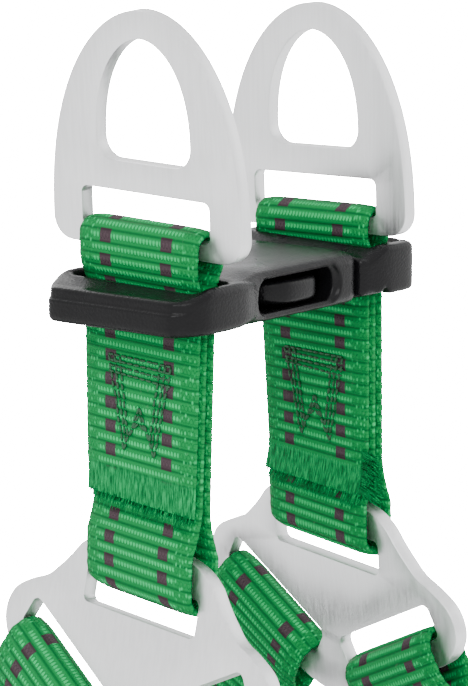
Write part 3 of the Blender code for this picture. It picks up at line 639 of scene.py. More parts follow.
def sewnPattern(length):
    # a W of lock stitches between two bars, as the lines of a bar-tacked lap
    left, right, top, bottom = -0.0125, 0.0125, length - 0.041, length - 0.014
    lines = []
    for shift in (0.0, 0.0016, 0.0032, 0.0048):
        lines.append(((left, top + shift), (right, top + shift * 1.2)))
    for shift in (0.0, 0.0022, 0.0044):
        points = [(left + shift, top), (left * 0.5 + shift * 0.4, bottom - shift), (0, (top + bottom) * 0.5 + shift),
                  (right * 0.5 - shift * 0.4, bottom - shift), (right - shift, top)]
        lines += list(zip(points, points[1:]))
    return lines


def distanceTo(line, u, s):
    (au, av), (bu, bv) = line
    dx, dy = bu - au, bv - av
    t = max(0.0, min(1.0, ((u - au) * dx + (s - av) * dy) / (dx * dx + dy * dy)))
    return math.hypot(u - au - t * dx, s - av - t * dy)


def threadMesh(name, centres, directions, normals, length=0.0026, radius=0.00042):
    shape = bmesh.new()
    for centre, ahead, out in zip(centres, directions, normals):
        made = bmesh.ops.create_icosphere(shape, subdivisions=1, radius=1.0)
        across = out.cross(ahead).normalized()
        turn = Matrix((ahead * length / 2, across * radius, out * radius)).transposed().to_4x4()
        turn.translation = centre
        bmesh.ops.transform(shape, matrix=turn, verts=made["verts"])
    return meshFrom(shape, name)


def stitchAlong(lines, path, lift, pitch=0.0033, closedSide=1):
    centres, directions, normals = [], [], []
    for (au, av), (bu, bv) in lines:
        run = math.hypot(bu - au, bv - av)
        count = max(1, int(run / pitch))
        for step in range(count):
            t = (step + 0.5) / count
            u, s = au + (bu - au) * t, av + (bv - av) * t
            centre, across, face = pathAt(path, s)
            nextCentre = pathAt(path, min(s + 0.001, path["total"]))[0]
            ahead = (nextCentre - centre).normalized()
            way = (across * (bu - au) + ahead * (bv - av)).normalized()
            wander = noise.noise_vector((u * 900, s * 900, 0.5))
            centres.append(centre + across * (u + wander.x * 0.0005) + face * (lift + wander.z * 0.0001) * closedSide)
            directions.append((way + across * wander.y * 0.35).normalized())
            normals.append(face * closedSide)
    return centres, directions, normals


def asFibres(shape, rng):
    # every fibre takes its own place in the streaked fringe look
    uvLayer = shape.loops.layers.uv.new("UVMap")
    fringeLayer = shape.verts.layers.float.new("fringe")
    for vert in shape.verts:
        vert[fringeLayer] = 1.0
    for face in shape.faces:
        for loop in face.loops:
            loop[uvLayer].uv = (loop.vert.co.y / mm + rng.uniform(-0.1, 0.1), loop.vert.co.z / mm)


def makeFrays(name, path, s, spec, body, slotName, material, seed):
    # loose warp ends at a cut edge: thin tapering fibres that leave the band's end
    rng = random.Random(seed)
    centre, across, face = pathAt(path, s)
    ahead = (centre - pathAt(path, s - 0.002)[0]).normalized()
    shape = bmesh.new()
    for index in range(spec["count"]):
        u = (index / (spec["count"] - 1) - 0.5) * webbing["width"] * 0.97
        lift = rng.uniform(-0.9, 0.9) * webbing["thick"] / 2
        length = spec["length"] * rng.uniform(0.35, 1.0)
        bend = Vector((rng.uniform(-1, 1), rng.uniform(-1, 1), rng.uniform(-1, 1))) * length * spec["curl"]
        root = centre + across * u + face * lift - ahead * 0.0006
        made = bmesh.ops.create_cone(shape, cap_ends=True, cap_tris=True, segments=4, radius1=spec["radius"],
                                     radius2=spec["radius"] * 0.4, depth=length)
        for vert in made["verts"]:
            t = vert.co.z / length + 0.5
            local = Vector((vert.co.x, vert.co.y, 0))
            vert.co = (root + ahead * (t * length) + bend * t * t + across * local.x + face * local.y
                       + face * spec["flare"] * t)
    asFibres(shape, rng)
    return addPiece(name, meshFrom(shape, name), material, body, slotName)


def makeTuft(path, body):
    # one corner of the lap has come loose and stands off the edge as a small brush of fibres
    rng = random.Random(11)
    shape = bmesh.new()
    for _ in range(170):
        s = path["total"] - rng.uniform(0.001, 0.0135)
        centre, across, face = pathAt(path, s)
        out = across if across.y < 0 else -across
        down = (pathAt(path, path["total"] - 1e-6)[0] - pathAt(path, path["total"] - 0.004)[0]).normalized()
        root = centre + out * (webbing["width"] / 2 - 0.0012) + face * rng.uniform(-0.9, 0.9) * webbing["thick"] / 2
        length = rng.uniform(0.0045, 0.0085)
        sway = Vector((rng.uniform(-1, 1), rng.uniform(-1, 1), rng.uniform(-1, 1))) * length * 0.22
        made = bmesh.ops.create_cone(shape, cap_ends=True, cap_tris=True, segments=4, radius1=0.00028,
                                     radius2=0.00012, depth=length)
        for vert in made["verts"]:
            t = vert.co.z / length + 0.5
            local = down * vert.co.x + face * vert.co.y
            vert.co = root + out * (t * length) + (sway + down * length * 0.25) * t * t + local
    asFibres(shape, rng)
    addPiece("lapTuft", meshFrom(shape, "lapTuft"), harnessWebbing, body, "webbing")


def makeRiser(word):
    parts = riserParts(word)
    body = "riser_" + word
    loop = makePath(riserStations(parts), closed=True)
    riserLook = dict(webbing, across=26)
    mesh = bandMesh("riser", loop, webbing["width"], webbing["thick"], riserLook)
    addPiece("riserWebbing" + word.capitalize(), mesh, harnessWebbing, body, "webbing", "riser_" + word)

    start = {"left": 0.0185, "right": 0.0135}[word]
    end = (closure["centre"].z + plates[word]["lapEnd"] - parts["topZ"]) / parts["down"].z
    stations = []
    for step in range(41):
        run = start + (end - start) * step / 40
        centre, across, face = parts["middle"](run)
        outward = face if face.x < 0 else -face
        offset = parts["spread"](run, True) + webbing["thick"] + webbing["gap"]
        stations.append((centre + offset * outward, across, outward))
    lap = makePath(stations)
    pattern = sewnPattern(lap["total"])

    def press(u, s, side):
        if side < 0:
            return 0.0
        near = min(distanceTo(line, u, s) for line in pattern)
        return 0.00055 * math.exp(-(near / 0.0012) ** 2)

    lapLook = dict(webbing, across=60, perRib=8)
    mesh = bandMesh("lap", lap, webbing["width"], webbing["thick"], lapLook, press, lap["total"] - 0.0085)
    addPiece("riserLap" + word.capitalize(), mesh, harnessWebbing, body, "webbing", "riser_lap_" + word)
    seams = threadMesh("seams", *stitchAlong(pattern, lap, webbing["thick"] / 2 - 0.0003, 0.0024), 0.0026, 0.00046)
    addPiece("riserSeams" + word.capitalize(), seams, greenThread, body, "thread")
    makeFrays("lapFrays" + word.capitalize(), lap, lap["total"],
              {"count": 150, "length": 0.0052, "curl": 0.22, "radius": 0.00022, "flare": 0.0009},
              body, "webbing", harnessWebbing, 7)
    if word == "right":
        makeTuft(lap, body)


for word, _ in sides:
    makeRiser(word)
print("risers made")


# ---- moulded buckle ----
buckle = {"place": Vector((0, -0.0022, -0.0305)), "plugZ": -0.0288, "socketHeight": 0.0125, "plugHeight": 0.0150,
          "voxel": 0.00055, "rounds": 5, "edge": 0.0018, "tabEdge": 0.0011, "windowHeight": 0.0084, "prongHeight": 0.0068}
flatOnXY = Matrix(((0, 1, 0), (1, 0, 0), (0, 0, -1))).to_4x4()
flatOnXZ = Matrix(((1, 0, 0), (0, 0, -1), (0, 1, 0))).to_4x4()


def looseObject(name, mesh):
    piece = bpy.data.objects.new(name, mesh)
    bpy.context.scene.collection.objects.link(piece)
    return piece


def applied(piece):
    graph = bpy.context.evaluated_depsgraph_get()
    graph.update()
    mesh = bpy.data.meshes.new_from_object(piece.evaluated_get(graph))
    bpy.data.objects.remove(piece)
    return mesh


def softBox(size, edge, matrix, segments=3):
    shape = bmesh.new()
    bmesh.ops.create_cube(shape, size=1.0)
    bmesh.ops.scale(shape, vec=size, verts=shape.verts)
    if edge:
        bmesh.ops.bevel(shape, geom=shape.edges[:], offset=edge, segments=segments, profile=0.5,
                        affect="EDGES", material=-1)
    bmesh.ops.transform(shape, matrix=matrix, verts=shape.verts)
    return shape


def moulded(name, solids, cutters, shapeIt, place):
    # joined and cut solids, skinned at a fine voxel and softened so that every edge has a moulded fillet
    whole = looseObject(name, meshFrom(solids[0], name))
    tools = []
    for shape, how in [(s, "UNION") for s in solids[1:]] + [(s, "DIFFERENCE") for s in cutters]:
        tools.append(looseObject("tool", meshFrom(shape, "tool")))
        step = whole.modifiers.new("join", "BOOLEAN")
        step.operation, step.solver, step.object = how, "EXACT", tools[-1]
    skin = whole.modifiers.new("skin", "REMESH")
    skin.mode, skin.voxel_size = "VOXEL", buckle["voxel"]
    soft = whole.modifiers.new("soft", "SMOOTH")
    soft.factor, soft.iterations = 0.5, buckle["rounds"]
    mesh = applied(whole)
    for tool in tools:
        bpy.data.objects.remove(tool)
    for vert in mesh.vertices:
        vert.co = shapeIt(vert.co) + place
    return mesh


def swapped(points):
    return [(y, x) for x, y in points]


def makeSocket():
    half = [(0, -58.8), (12, -58.8), (20.5, -58.8), (23.2, -58.0), (26.0, -54.0), (28.0, -49.0), (28.5, -43), (28.4, -37),
            (27.8, -31), (26.6, -26.2), (25.4, -22.5), (25.0, -19), (25.0, -5), (25.0, 10), (24.9, 19),
            (24.5, 24.4), (22.8, 26.6), (16, 27.1), (0, 27.1)]
    outline = smoothOutline([(u * mm, v * mm) for u, v in half])
    hole = swapped(roundedBox(0.0145, 0.049, 0.0022, (-0.04055, 0), math.radians(-2.5)))
    body = cutSheet([outline, hole], buckle["socketHeight"], buckle["edge"], flatOnXY, 4)
    cavity = softBox((0.0554, 0.0350, 0.0078), 0, Matrix.Translation((0.0054, 0, 0)))
    window = cutSheet([roundedBox(0.0365, buckle["windowHeight"], buckle["windowHeight"] / 2 - 0.0001,
                                  (-0.00205, 0))], 0.07, 0, flatOnXZ)
    rims = [cutSheet([roundedBox(0.0400, 0.0108, 0.0053, (-0.00205, 0))], 0.006, 0,
                     Matrix.Translation((0, side * 0.0266, 0)) @ flatOnXZ) for _, side in sides]

    def shapeIt(co):
        inBody = ease(co.x, -0.036, -0.020)
        crown = math.sqrt(max(0.0, 1 - (1 - min(1.0, max(0.0, (0.0254 - abs(co.y)) / 0.0085))) ** 2))
        height = co.z * (1 - 0.34 * inBody * (1 - crown) + 0.20 * inBody)
        if height > 0:
            height *= 0.66 + 0.46 * ease(co.x, -0.0560, -0.0440)
        ledge = 0.0009 * ease(height, 0.0002, 0.0010) * (1 - ease(co.x, -0.0575, -0.0530))
        return Vector((co.x + ledge, co.y, height))

    mesh = moulded("buckleSocket", [body], [cavity, window, *rims], shapeIt,
                   closure["centre"] + buckle["place"])
    addPiece("buckleSocket", mesh, buckleBlack, "socket", "buckle_plastic", "buckle_socket")


def makePlug():
    half = [(0, 27.7), (11, 27.7), (19, 27.6), (24.0, 27.6), (25.6, 28.6), (26.9, 32.0), (28.0, 36.2), (28.5, 41),
            (28.4, 47.5), (27.4, 51.2), (24.8, 53.3), (20, 53.7), (0, 53.7)]
    outline = smoothOutline([(u * mm, v * mm) for u, v in half])
    hole = swapped(roundedBox(0.0136, 0.0475, 0.0022, (0.0439, 0), math.radians(-3.6)))
    tab = cutSheet([outline, hole], buckle["plugHeight"], buckle["tabEdge"], flatOnXY, 3)
    drop = buckle["place"].z - buckle["plugZ"]
    tongue = softBox((0.0237, 0.0080, 0.0060), 0.001, Matrix.Translation((0.01785, 0, drop)))
    cuts = [softBox((0.0032, 0.08, 0.0032), 0, Matrix.Translation((x, 0, z)) @ Matrix.Rotation(math.pi / 4, 4, "Y"))
            for x, z in ((0.0510, 0.0075), (0.0368, -0.0075))]

    def shapeIt(co):
        if co.x < 0.0270:
            return co.copy()
        grown = ease(co.x, 0.0285, 0.0385)
        crown = math.sqrt(max(0.0, 1 - (1 - min(1.0, max(0.0, (0.0262 - abs(co.y)) / 0.0080))) ** 2))
        height = co.z * (0.86 + 0.14 * grown) * (1 - 0.32 * (1 - grown) * (1 - crown))
        return Vector((co.x, co.y, height + drop * (1 - grown)))

    place = closure["centre"] + Vector((0, buckle["place"].y, buckle["plugZ"]))
    mesh = moulded("bucklePlug", [tab, tongue], cuts, shapeIt, place)
    addPiece("bucklePlug", mesh, buckleBlack, "plug", "buckle_plastic", "buckle_plug")


def closedCurve(points, steps=6):
    loop = []
    count = len(points)
    for index in range(count):
        picks = [Vector(points[(index + k) % count]) for k in (-1, 0, 1, 2)]
        loop += [tuple(curvePoint(*picks, step / steps)) for step in range(steps)]
    return loop


def makeProngs():
    outline = [(-0.2, -2.3), (-0.2, 2.3), (-7, 2.4), (-13, 2.7), (-15.5, 7.0), (-18.5, 11.6), (-24, 13.2),
               (-32.8, 12.9), (-38.0, 9.6), (-41.2, 4.2), (-41.5, 0.2), (-38.5, -1.2), (-30, -1.4), (-15, -1.5)]
    for word, side in (("front", -1), ("rear", 1)):
        pivot = closure["centre"] + buckle["place"] + Vector((0.0274, side * 0.0105, 0))
        loop = closedCurve([(u * mm, side * v * mm) for u, v in outline])
        shape = cutSheet([loop], buckle["prongHeight"], 0.0016, Matrix.Translation(pivot), 5)
        addPiece("buckleProng" + word.capitalize(), meshFrom(shape, "prong"), buckleBlack, "prong_" + word,
                 "buckle_plastic", "buckle_prong_" + word)


makeSocket()
makePlug()
makeProngs()
print("buckle made")


# ---- straps from the three-slot plates ----
strapLook = dict(webbing, perRib=6, across=18)
routes = {"steps": 22, "clearance": 0.0024}


def beltPoint(angle, offset, height=0.0):
    outward = Vector((math.cos(angle) / belt["a"], math.sin(angle) / belt["b"], 0)).normalized()
    point = Vector((belt["a"] * math.cos(angle), belt["b"] * math.sin(angle), height)) + outward * offset
    return point, outward, Vector((-belt["a"] * math.sin(angle), belt["b"] * math.cos(angle), 0)).normalized()


def legFrame(side):
    along = Vector((0, -math.cos(leg["slope"]), -math.sin(leg["slope"])))
    upward = Vector((0, -math.sin(leg["slope"]), math.cos(leg["slope"])))
    return Vector((side * leg["centre"].x, leg["centre"].y, leg["centre"].z)), Vector((side, 0, 0)), upward, along


def legPoint(side, degrees, offset):
    centre, outward, upward, _ = legFrame(side)
    angle = math.radians(degrees)
    out = math.cos(angle) * outward + math.sin(angle) * upward
    return centre + (leg["radius"] + offset) * out, out, -math.sin(angle) * outward + math.cos(angle) * upward


def lowerBar(matrix, which):
    turn = which * deltaShape["lowerTurn"]
    drop = Vector((math.sin(turn), -math.cos(turn), 0))
    centre = Vector((which * deltaShape["lowerAt"][0], deltaShape["lowerAt"][1], 0))
    bar = centre + drop * (deltaShape["lower"][1] / 2 + deltaShape["bar"])
    rotation = matrix.to_3x3()
    across = rotation @ Vector((math.cos(turn), math.sin(turn), 0))
    return matrix @ bar, across.normalized(), (rotation @ drop).normalized()


def foldedStations(bar, across, route, acrosses):
    stations = orient(route, acrosses)
    wide = closure["plateThick"] / 2 + routes["clearance"] + webbing["thick"] / 2
    near = (webbing["thick"] + 2 * webbing["gap"]) / 2
    down, face = (route[1] - route[0]).normalized(), stations[0][2]
    layers = {}
    for side in (-1, 1):
        layers[side] = []
        for centre, widthWay, out in stations:
            run = (centre - bar).length
            spread = near + (wide - near) * max(0.0, 1.0 - max(0.0, run - 0.006) / 0.022) ** 2
            layers[side].append((centre + side * spread * out, widthWay, out))
    bend = []
    for step in range(1, 12):
        angle = math.pi * step / 12
        out = math.cos(angle) * -face - math.sin(angle) * down
        bend.append((route[0] + wide * out, across, -out))
    first = list(reversed(layers[-1]))
    return first + bend + [(centre, widthWay, -out) for centre, widthWay, out in layers[1]]


def turned(stations, closed=False):
    # every face direction is square to the path and on one side of it
    fixed = []
    count = len(stations)
    for index, (centre, across, _) in enumerate(stations):
        before = stations[(index - 1) % count if closed else max(index - 1, 0)][0]
        after = stations[(index + 1) % count if closed else min(index + 1, count - 1)][0]
        ahead = after - before
        face = across.cross(ahead).normalized()
        fixed.append((centre, ahead.cross(face).normalized() * -1, face))
    return fixed


def makeStraps(word, side):
    cap = word.capitalize()
    mirrored = (lambda a: a) if side > 0 else (lambda a: math.pi - a)
    bar, across, drop = lowerBar(deltaFrames[word], -1)
    foldOffset = belt["thick"] / 2 + 0.0008 + webbing["thick"] + webbing["gap"]
    padStart = belt["front"]
    landing, _, tangent = beltPoint(mirrored(padStart - math.radians(17)), foldOffset)
    tangent = tangent * side
    start = bar - drop * 0.0015
    route, acrosses = [start, start + drop * 0.008], [across, across]
    vertical = Vector((0, 0, 1)) if across.z >= 0 else Vector((0, 0, -1))
    for step in range(1, routes["steps"] + 1):
        t = step / routes["steps"]
        route.append(hermite(start + drop * 0.008, drop * 0.17, landing, tangent * 0.12, t))
        acrosses.append(across.lerp(vertical, t ** 0.8).normalized())
    for step in range(1, 8):
        route.append(beltPoint(mirrored(padStart + math.radians(28 * step / 7 - 17)), foldOffset)[0])
        acrosses.append(vertical)
    path = makePath(turned(foldedStations(bar, across, route, acrosses)))
    mesh = bandMesh("hipStrap", path, webbing["width"], webbing["thick"], strapLook)
    piece = looseObject("hipStrap" + cap, mesh)
    finishStrap(piece, "hip_strap_" + word)

    bar, across, drop = lowerBar(deltaFrames[word], 1)
    foldOffset = (leg["thick"] / 2 + 0.0005 + webbing["thick"] + 0.0017 + webbing["thick"] + webbing["gap"])
    _, _, _, along = legFrame(side)
    join, _, tangent = legPoint(side, 136, foldOffset)
    start = bar - drop * 0.0015
    widthWay = along if across.dot(along) >= 0 else -along
    route, acrosses = [start, start + drop * 0.008], [across, across]
    for step in range(1, routes["steps"] + 1):
        t = step / routes["steps"]
        route.append(hermite(start + drop * 0.008, drop * 0.15, join, tangent * 0.11, t))
        acrosses.append(across.lerp(widthWay, min(1.0, 1.3 * t)).normalized())
    for degrees in (142, 148, 154, 160, 166):
        route.append(legPoint(side, degrees, foldOffset)[0])
        acrosses.append(widthWay)
    path = makePath(turned(foldedStations(bar, across, route, acrosses)))
    mesh = bandMesh("legRiser", path, webbing["width"], webbing["thick"], strapLook)
    piece = looseObject("legRiser" + cap, mesh)
    finishStrap(piece, "leg_riser_" + word)


def finishStrap(piece, node):
    piece.data.materials.append(harnessWebbing)
    piece.data.shade_smooth()
    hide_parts(node)
    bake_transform(piece)


for word, side in sides:
    makeStraps(word, side)
print("straps made")


# ---- padded belt and leg loops ----
padding = {"voxel": 0.0045, "pressure": 4.0, "cap": 0.0026, "frames": 20, "channel": 0.0020, "channelDepth": 0.0016,
           "slim": 0.76, "hem": 0.0032}


def softSlab(path, width, thick):
    # a long box grid laid on the path, with rounded sides and ends, to be swelled
    shape = bmesh.new()
    bmesh.ops.create_cube(shape, size=1.0)
    bmesh.ops.translate(shape, vec=(0.5, 0, 0), verts=shape.verts)
    for axis, cuts in ((0, int(path["total"] / 0.006)), (1, int(width / 0.006)), (2, 3)):
        runs = [edge for edge in shape.edges if abs((edge.verts[0].co - edge.verts[1].co)[axis]) > 1e-6]
        bmesh.ops.subdivide_edges(shape, edges=runs, cuts=cuts, use_grid_fill=True)
    for vert in shape.verts:
        s, a, side = vert.co.x * path["total"], vert.co.y * 2, vert.co.z * 2
        centre, across, face = pathAt(path, min(s, path["total"] - 1e-7))
        ends = min(1.0, min(s, path["total"] - s) / (thick * 0.7))
        half = thick / 2 * math.sqrt(max(0.08, 1 - abs(a) ** 8)) * math.sqrt(max(0.10, 1 - (1 - ends) ** 2))
        vert.co = centre + across * (a * width / 2) + face * (side * half)
    bmesh.ops.recalc_face_normals(shape, faces=shape.faces[:])
    return shape


def swelled(name, shape):
    # skinned, then blown up gently as a filled cloth bag; how far a point moves is capped
    base = looseObject(name, meshFrom(shape, name))
    skin = base.modifiers.new("skin", "REMESH")
    skin.mode, skin.voxel_size = "VOXEL", padding["voxel"]
    mesh = applied(base)
    piece = looseObject(name, mesh.copy())
    swell = piece.modifiers.new("swell", "CLOTH")
    swell.settings.quality = 5
    swell.settings.mass = 0.3
    swell.settings.tension_stiffness = swell.settings.compression_stiffness = 18
    swell.settings.use_pressure = True
    swell.settings.uniform_pressure_force = padding["pressure"]
    swell.settings.effector_weights.gravity = 0
    swell.point_cache.frame_start, swell.point_cache.frame_end = 1, padding["frames"]
    scene = bpy.context.scene
    for step in range(1, padding["frames"] + 1):
        scene.frame_set(step)
    graph = bpy.context.evaluated_depsgraph_get()
    blown = [vert.co.copy() for vert in piece.evaluated_get(graph).data.vertices]
    for vert, end in zip(mesh.vertices, blown):
        way = end - vert.co
        if way.length > 1e-9:
            vert.co += way * min(1.0, padding["cap"] / way.length)
    scene.frame_set(1)
    bpy.data.objects.remove(piece)
    piece = looseObject(name, mesh)
    smooth = piece.modifiers.new("fine", "SUBSURF")
    smooth.levels = smooth.render_levels = 1
    return applied(piece)


def nearPath(path, point, guess):
    # distance along, across and out of the path for a point; the guess keeps the search short
    best = min(range(guess[0], guess[1]), key=lambda k: (path["stations"][k][0] - point).length_squared)
    centre, across, face = path["stations"][best]
    ahead = face.cross(across).normalized()
    if ahead.dot(path["stations"][min(best + 1, len(path["stations"]) - 1)][0]
                 - path["stations"][max(best - 1, 0)][0]) < 0:
        ahead = -ahead
    off = point - centre
    return path["lengths"][best] + off.dot(ahead), off.dot(across), off.dot(face), face


def finishPad(name, mesh, path, width, channels, crossings, node):
    uvs = mesh.uv_layers.new(name="UVMap")
    lining = mesh.attributes.new("lining", "FLOAT", "POINT")
    grid = []
    for vert in mesh.vertices:
        s, a, out, face = nearPath(path, vert.co, (0, len(path["stations"])))
        dent = sum(math.exp(-((a - line) / padding["channel"]) ** 2) for line in channels)
        dent += sum(math.exp(-((s - line) / padding["channel"]) ** 2) for line in crossings
                    if abs(a) < max(channels))
        vert.co -= face * math.copysign(padding["channelDepth"] * min(1.0, dent), out)
        lining.data[vert.index].value = 1.0 if out < 0 else 0.0
        grid.append((s, a))
    for loop in mesh.loops:
        s, a = grid[loop.vertex_index]
        uvs.data[loop.index].uv = (a / mm, s / mm)
    piece = addPiece(name, mesh, padCloth, "root", "pad_cloth", node)
    return piece


def tubeMesh(name, path, radiusAt, segments=12, perStep=0.002, flatten=1.0):
    # a capped cylinder grid laid along the path; closed paths are welded end to end
    shape = bmesh.new()
    bmesh.ops.create_cone(shape, cap_ends=not path["closed"], cap_tris=False, segments=segments, radius1=1,
                          radius2=1, depth=1)
    bmesh.ops.translate(shape, vec=(0, 0, 0.5), verts=shape.verts)
    runs = [edge for edge in shape.edges if abs(edge.verts[0].co.z - edge.verts[1].co.z) > 0.5]
    bmesh.ops.subdivide_edges(shape, edges=runs, cuts=max(6, int(path["total"] / perStep)), use_grid_fill=True)
    uvLayer = shape.loops.layers.uv.new("UVMap")
    for face in shape.faces:
        for loop in face.loops:
            turn = math.atan2(loop.vert.co.y, loop.vert.co.x)
            loop[uvLayer].uv = (turn * 2.0, loop.vert.co.z * path["total"] / mm)
    for vert in shape.verts:
        s = vert.co.z * path["total"]
        centre, across, face = pathAt(path, min(s, path["total"] - 1e-7))
        radius = radiusAt(s)
        vert.co = centre + across * (vert.co.x * radius) + face * (vert.co.y * radius * flatten)
    if path["closed"]:
        bmesh.ops.remove_doubles(shape, verts=shape.verts[:], dist=2e-5)
    bmesh.ops.recalc_face_normals(shape, faces=shape.faces[:])
    return meshFrom(shape, name)


def hemPath(path, width, inset):
    # once round the pad's edge: along one side, round its end, back along the other side
    count = len(path["stations"])
    reach = width / 2 - inset
    corner = 0.016
    points = []

    def at(s, a):
        centre, across, face = pathAt(path, max(0.0, min(path["total"] - 1e-7, s)))
        return centre + across * a, across, face

    steps = max(24, count)
    for way in (1, -1):
        for step in range(steps + 1):
            s = corner + (path["total"] - 2 * corner) * step / steps
            points.append((s if way > 0 else path["total"] - s, way * reach))
        for step in range(1, 6):
            turn = math.pi / 2 * step / 6
            s = path["total"] - corner + corner * math.sin(turn) - inset * math.sin(turn)
            a = reach - corner + corner * math.cos(turn)
            points.append((s if way > 0 else path["total"] - s, way * a))
        for step in range(0, 7):
            a = (reach - corner) * (1 - 2 * step / 6)
            s = path["total"] - inset
            points.append((s if way > 0 else inset, way * a))
        for step in range(1, 6):
            turn = math.pi / 2 * (6 - step) / 6
            s = path["total"] - corner + corner * math.sin(turn) - inset * math.sin(turn)
            a = -(reach - corner + corner * math.cos(turn))
            points.append((s if way > 0 else path["total"] - s, way * a))
    stations = []
    places = [at(s, a) for s, a in points]
    for index, (centre, across, face) in enumerate(places):
        ahead = places[(index + 1) % len(places)][0] - places[index - 1][0]
        stations.append((centre, ahead.cross(face).normalized(), face))
    return makePath(stations, closed=True)


def makePad(name, stations, width, thick, channels, crossings, node):
    path = makePath(stations)
    mesh = swelled(name, softSlab(path, width - 0.004, thick * padding["slim"]))
    finishPad(name, mesh, path, width, channels, crossings, node)
    hem = tubeMesh(name + "Hem", hemPath(path, width, padding["hem"]), lambda s: padding["hem"], 12, 0.003, 1.15)
    addPiece(name + "Hem", hem, bindingTape, "root", "pad_binding")
    lines = [((line, 0.014), (line, path["total"] - 0.014)) for line in channels]
    for lift, word in ((1, "Out"), (-1, "In")):
        seams = threadMesh(name + "Seam", *stitchAlong(lines, path, thick / 2 * 0.80, 0.0045, lift), 0.0032, 0.0004)
        addPiece(name + "Seam" + word, seams, blackThread, "root", "thread")


def makeBeltPad():
    start, end = belt["front"], math.pi - belt["front"]
    stations = []
    for step in range(121):
        point, outward, _ = beltPoint(start + (end - start) * step / 120, 0.0)
        stations.append((point, Vector((0, 0, 1)), outward))
    crossings = [makePath(stations)["total"] * share for share in (0.10, 0.30, 0.50, 0.70, 0.90)]
    makePad("beltPad", stations, belt["height"], belt["thick"], (-0.037, 0.037), crossings, "belt_pad")


def makeLegPad(word, side):
    _, _, _, along = legFrame(side)
    stations = []
    for step in range(73):
        point, out, _ = legPoint(side, 172 + 200 * step / 72, 0.0)
        stations.append((point, along, out))
    makePad("legPad" + word.capitalize(), stations, leg["width"], leg["thick"], (-0.029, 0.029), [0.145],
            "leg_pad_" + word)


padCloth, padTree, padShader, padWhere = newMaterial("padCloth", (0.02, 0.02, 0.022), 0.9)


def paintPad():
    # woven shell outside, open spacer mesh on the lining side
    tree = padTree
    split = tree.nodes.new("ShaderNodeSeparateXYZ")
    tree.links.new(padWhere.outputs["UV"], split.inputs[0])
    tone = place(tree, toneAndDust, Where=padWhere.outputs["Object"])
    weave = place(tree, ribWeave, U=split.outputs[0], V=split.outputs[1], Pitch=1.3, Thread=1.3)
    holes = tree.nodes.new("ShaderNodeTexVoronoi")
    holes.inputs["Scale"].default_value = 0.30
    holes.inputs["Randomness"].default_value = 0.0
    tree.links.new(padWhere.outputs["UV"], holes.inputs["Vector"])
    net = between(tree, holes.outputs["Distance"], 0.18, 0.42)
    side = tree.nodes.new("ShaderNodeAttribute")
    side.attribute_name = "lining"
    # painted highlight: the thread floats of the shell are mixed from near black to a lighter grey
    shell = mixColour(tree, weave.outputs["Float"], (0.012, 0.012, 0.013, 1), (0.055, 0.056, 0.060, 1))
    # painted shade: the openings of the spacer mesh are near black, the net between them lighter
    mesh = mixColour(tree, net, (0.003, 0.003, 0.003, 1), (0.050, 0.052, 0.055, 1))
    colour = mixColour(tree, side.outputs["Fac"], shell, mesh)
    colour = mixColour(tree, calc(tree, "MULTIPLY", tone.outputs["Lint"], 0.20), colour, (0.25, 0.25, 0.25, 1))
    tree.links.new(colour, padShader.inputs["Base Color"])
    tree.links.new(between(tree, tone.outputs["Tone"], 0.2, 0.8, 0.78, 0.95), padShader.inputs["Roughness"])
    height = calc(tree, "ADD", calc(tree, "MULTIPLY", weave.outputs["Height"],
                                    calc(tree, "SUBTRACT", 1.0, side.outputs["Fac"])),
                  calc(tree, "MULTIPLY", net, calc(tree, "MULTIPLY", side.outputs["Fac"], 2.0)))
    tree.links.new(bump(tree, height, 0.0005, 0.8), padShader.inputs["Normal"])
    padShader.inputs["Sheen Weight"].default_value = 0.2
    padShader.inputs["Specular IOR Level"].default_value = 0.25


paintPad()
makeBeltPad()
for word, side in sides:
    makeLegPad(word, side)
print("pads made")


# ---- belt and leg webbing, adjusters, rings, loops and elastic ----
wideLook = dict(webbing, perRib=5, across=16)
tapeLook = {"ribPitch": 0.0016, "ribDepth": 0.00010, "scallop": 0.0, "perRib": 3, "across": 12}
fittings = {"wall": 0.0035, "hipLength": 0.020, "legLength": 0.024, "ringSize": 0.80, "ringRod": 0.0028,
            "loopRod": 0.0032, "loopSpan": 0.034, "loopDrop": 0.046, "keeperWidth": 0.030, "eye": 0.0058}


def frameAt(centre, along, face):
    along = along.normalized()
    face = (face - along * face.dot(along)).normalized()
    matrix = Matrix((along, face.cross(along), face)).transposed().to_4x4()
    matrix.translation = centre
    return matrix


def arcStations(pointAt, start, end, across, steps):
    stations = []
    for step in range(steps + 1):
        point, out, _ = pointAt(start + (end - start) * step / steps)
        stations.append((point, across, out))
    return stations


def makeWebbingRounds():
    start, end = belt["front"], math.pi - belt["front"]
    offset = belt["thick"] / 2 + 0.0005 + webbing["thick"] / 2
    ease = math.radians(12.5)
    path = makePath(arcStations(lambda a: beltPoint(a, offset), start + ease, end - ease, Vector((0, 0, 1)), 110))
    addPiece("beltStrap", bandMesh("beltStrap", path, webbing["width"], webbing["thick"], wideLook),
             harnessWebbing, "root", "webbing", "belt_strap")
    for word, side in sides:
        offset = leg["thick"] / 2 + 0.0005 + webbing["thick"] / 2
        _, _, _, along = legFrame(side)
        stations = arcStations(lambda a: legPoint(side, a, offset), 0, 360, along, 120)[:-1]
        path = makePath(stations, closed=True)
        addPiece("legStrap" + word.capitalize(),
                 bandMesh("legStrap", path, webbing["width"], webbing["thick"], wideLook), harnessWebbing, "root",
                 "webbing", "leg_strap_" + word)


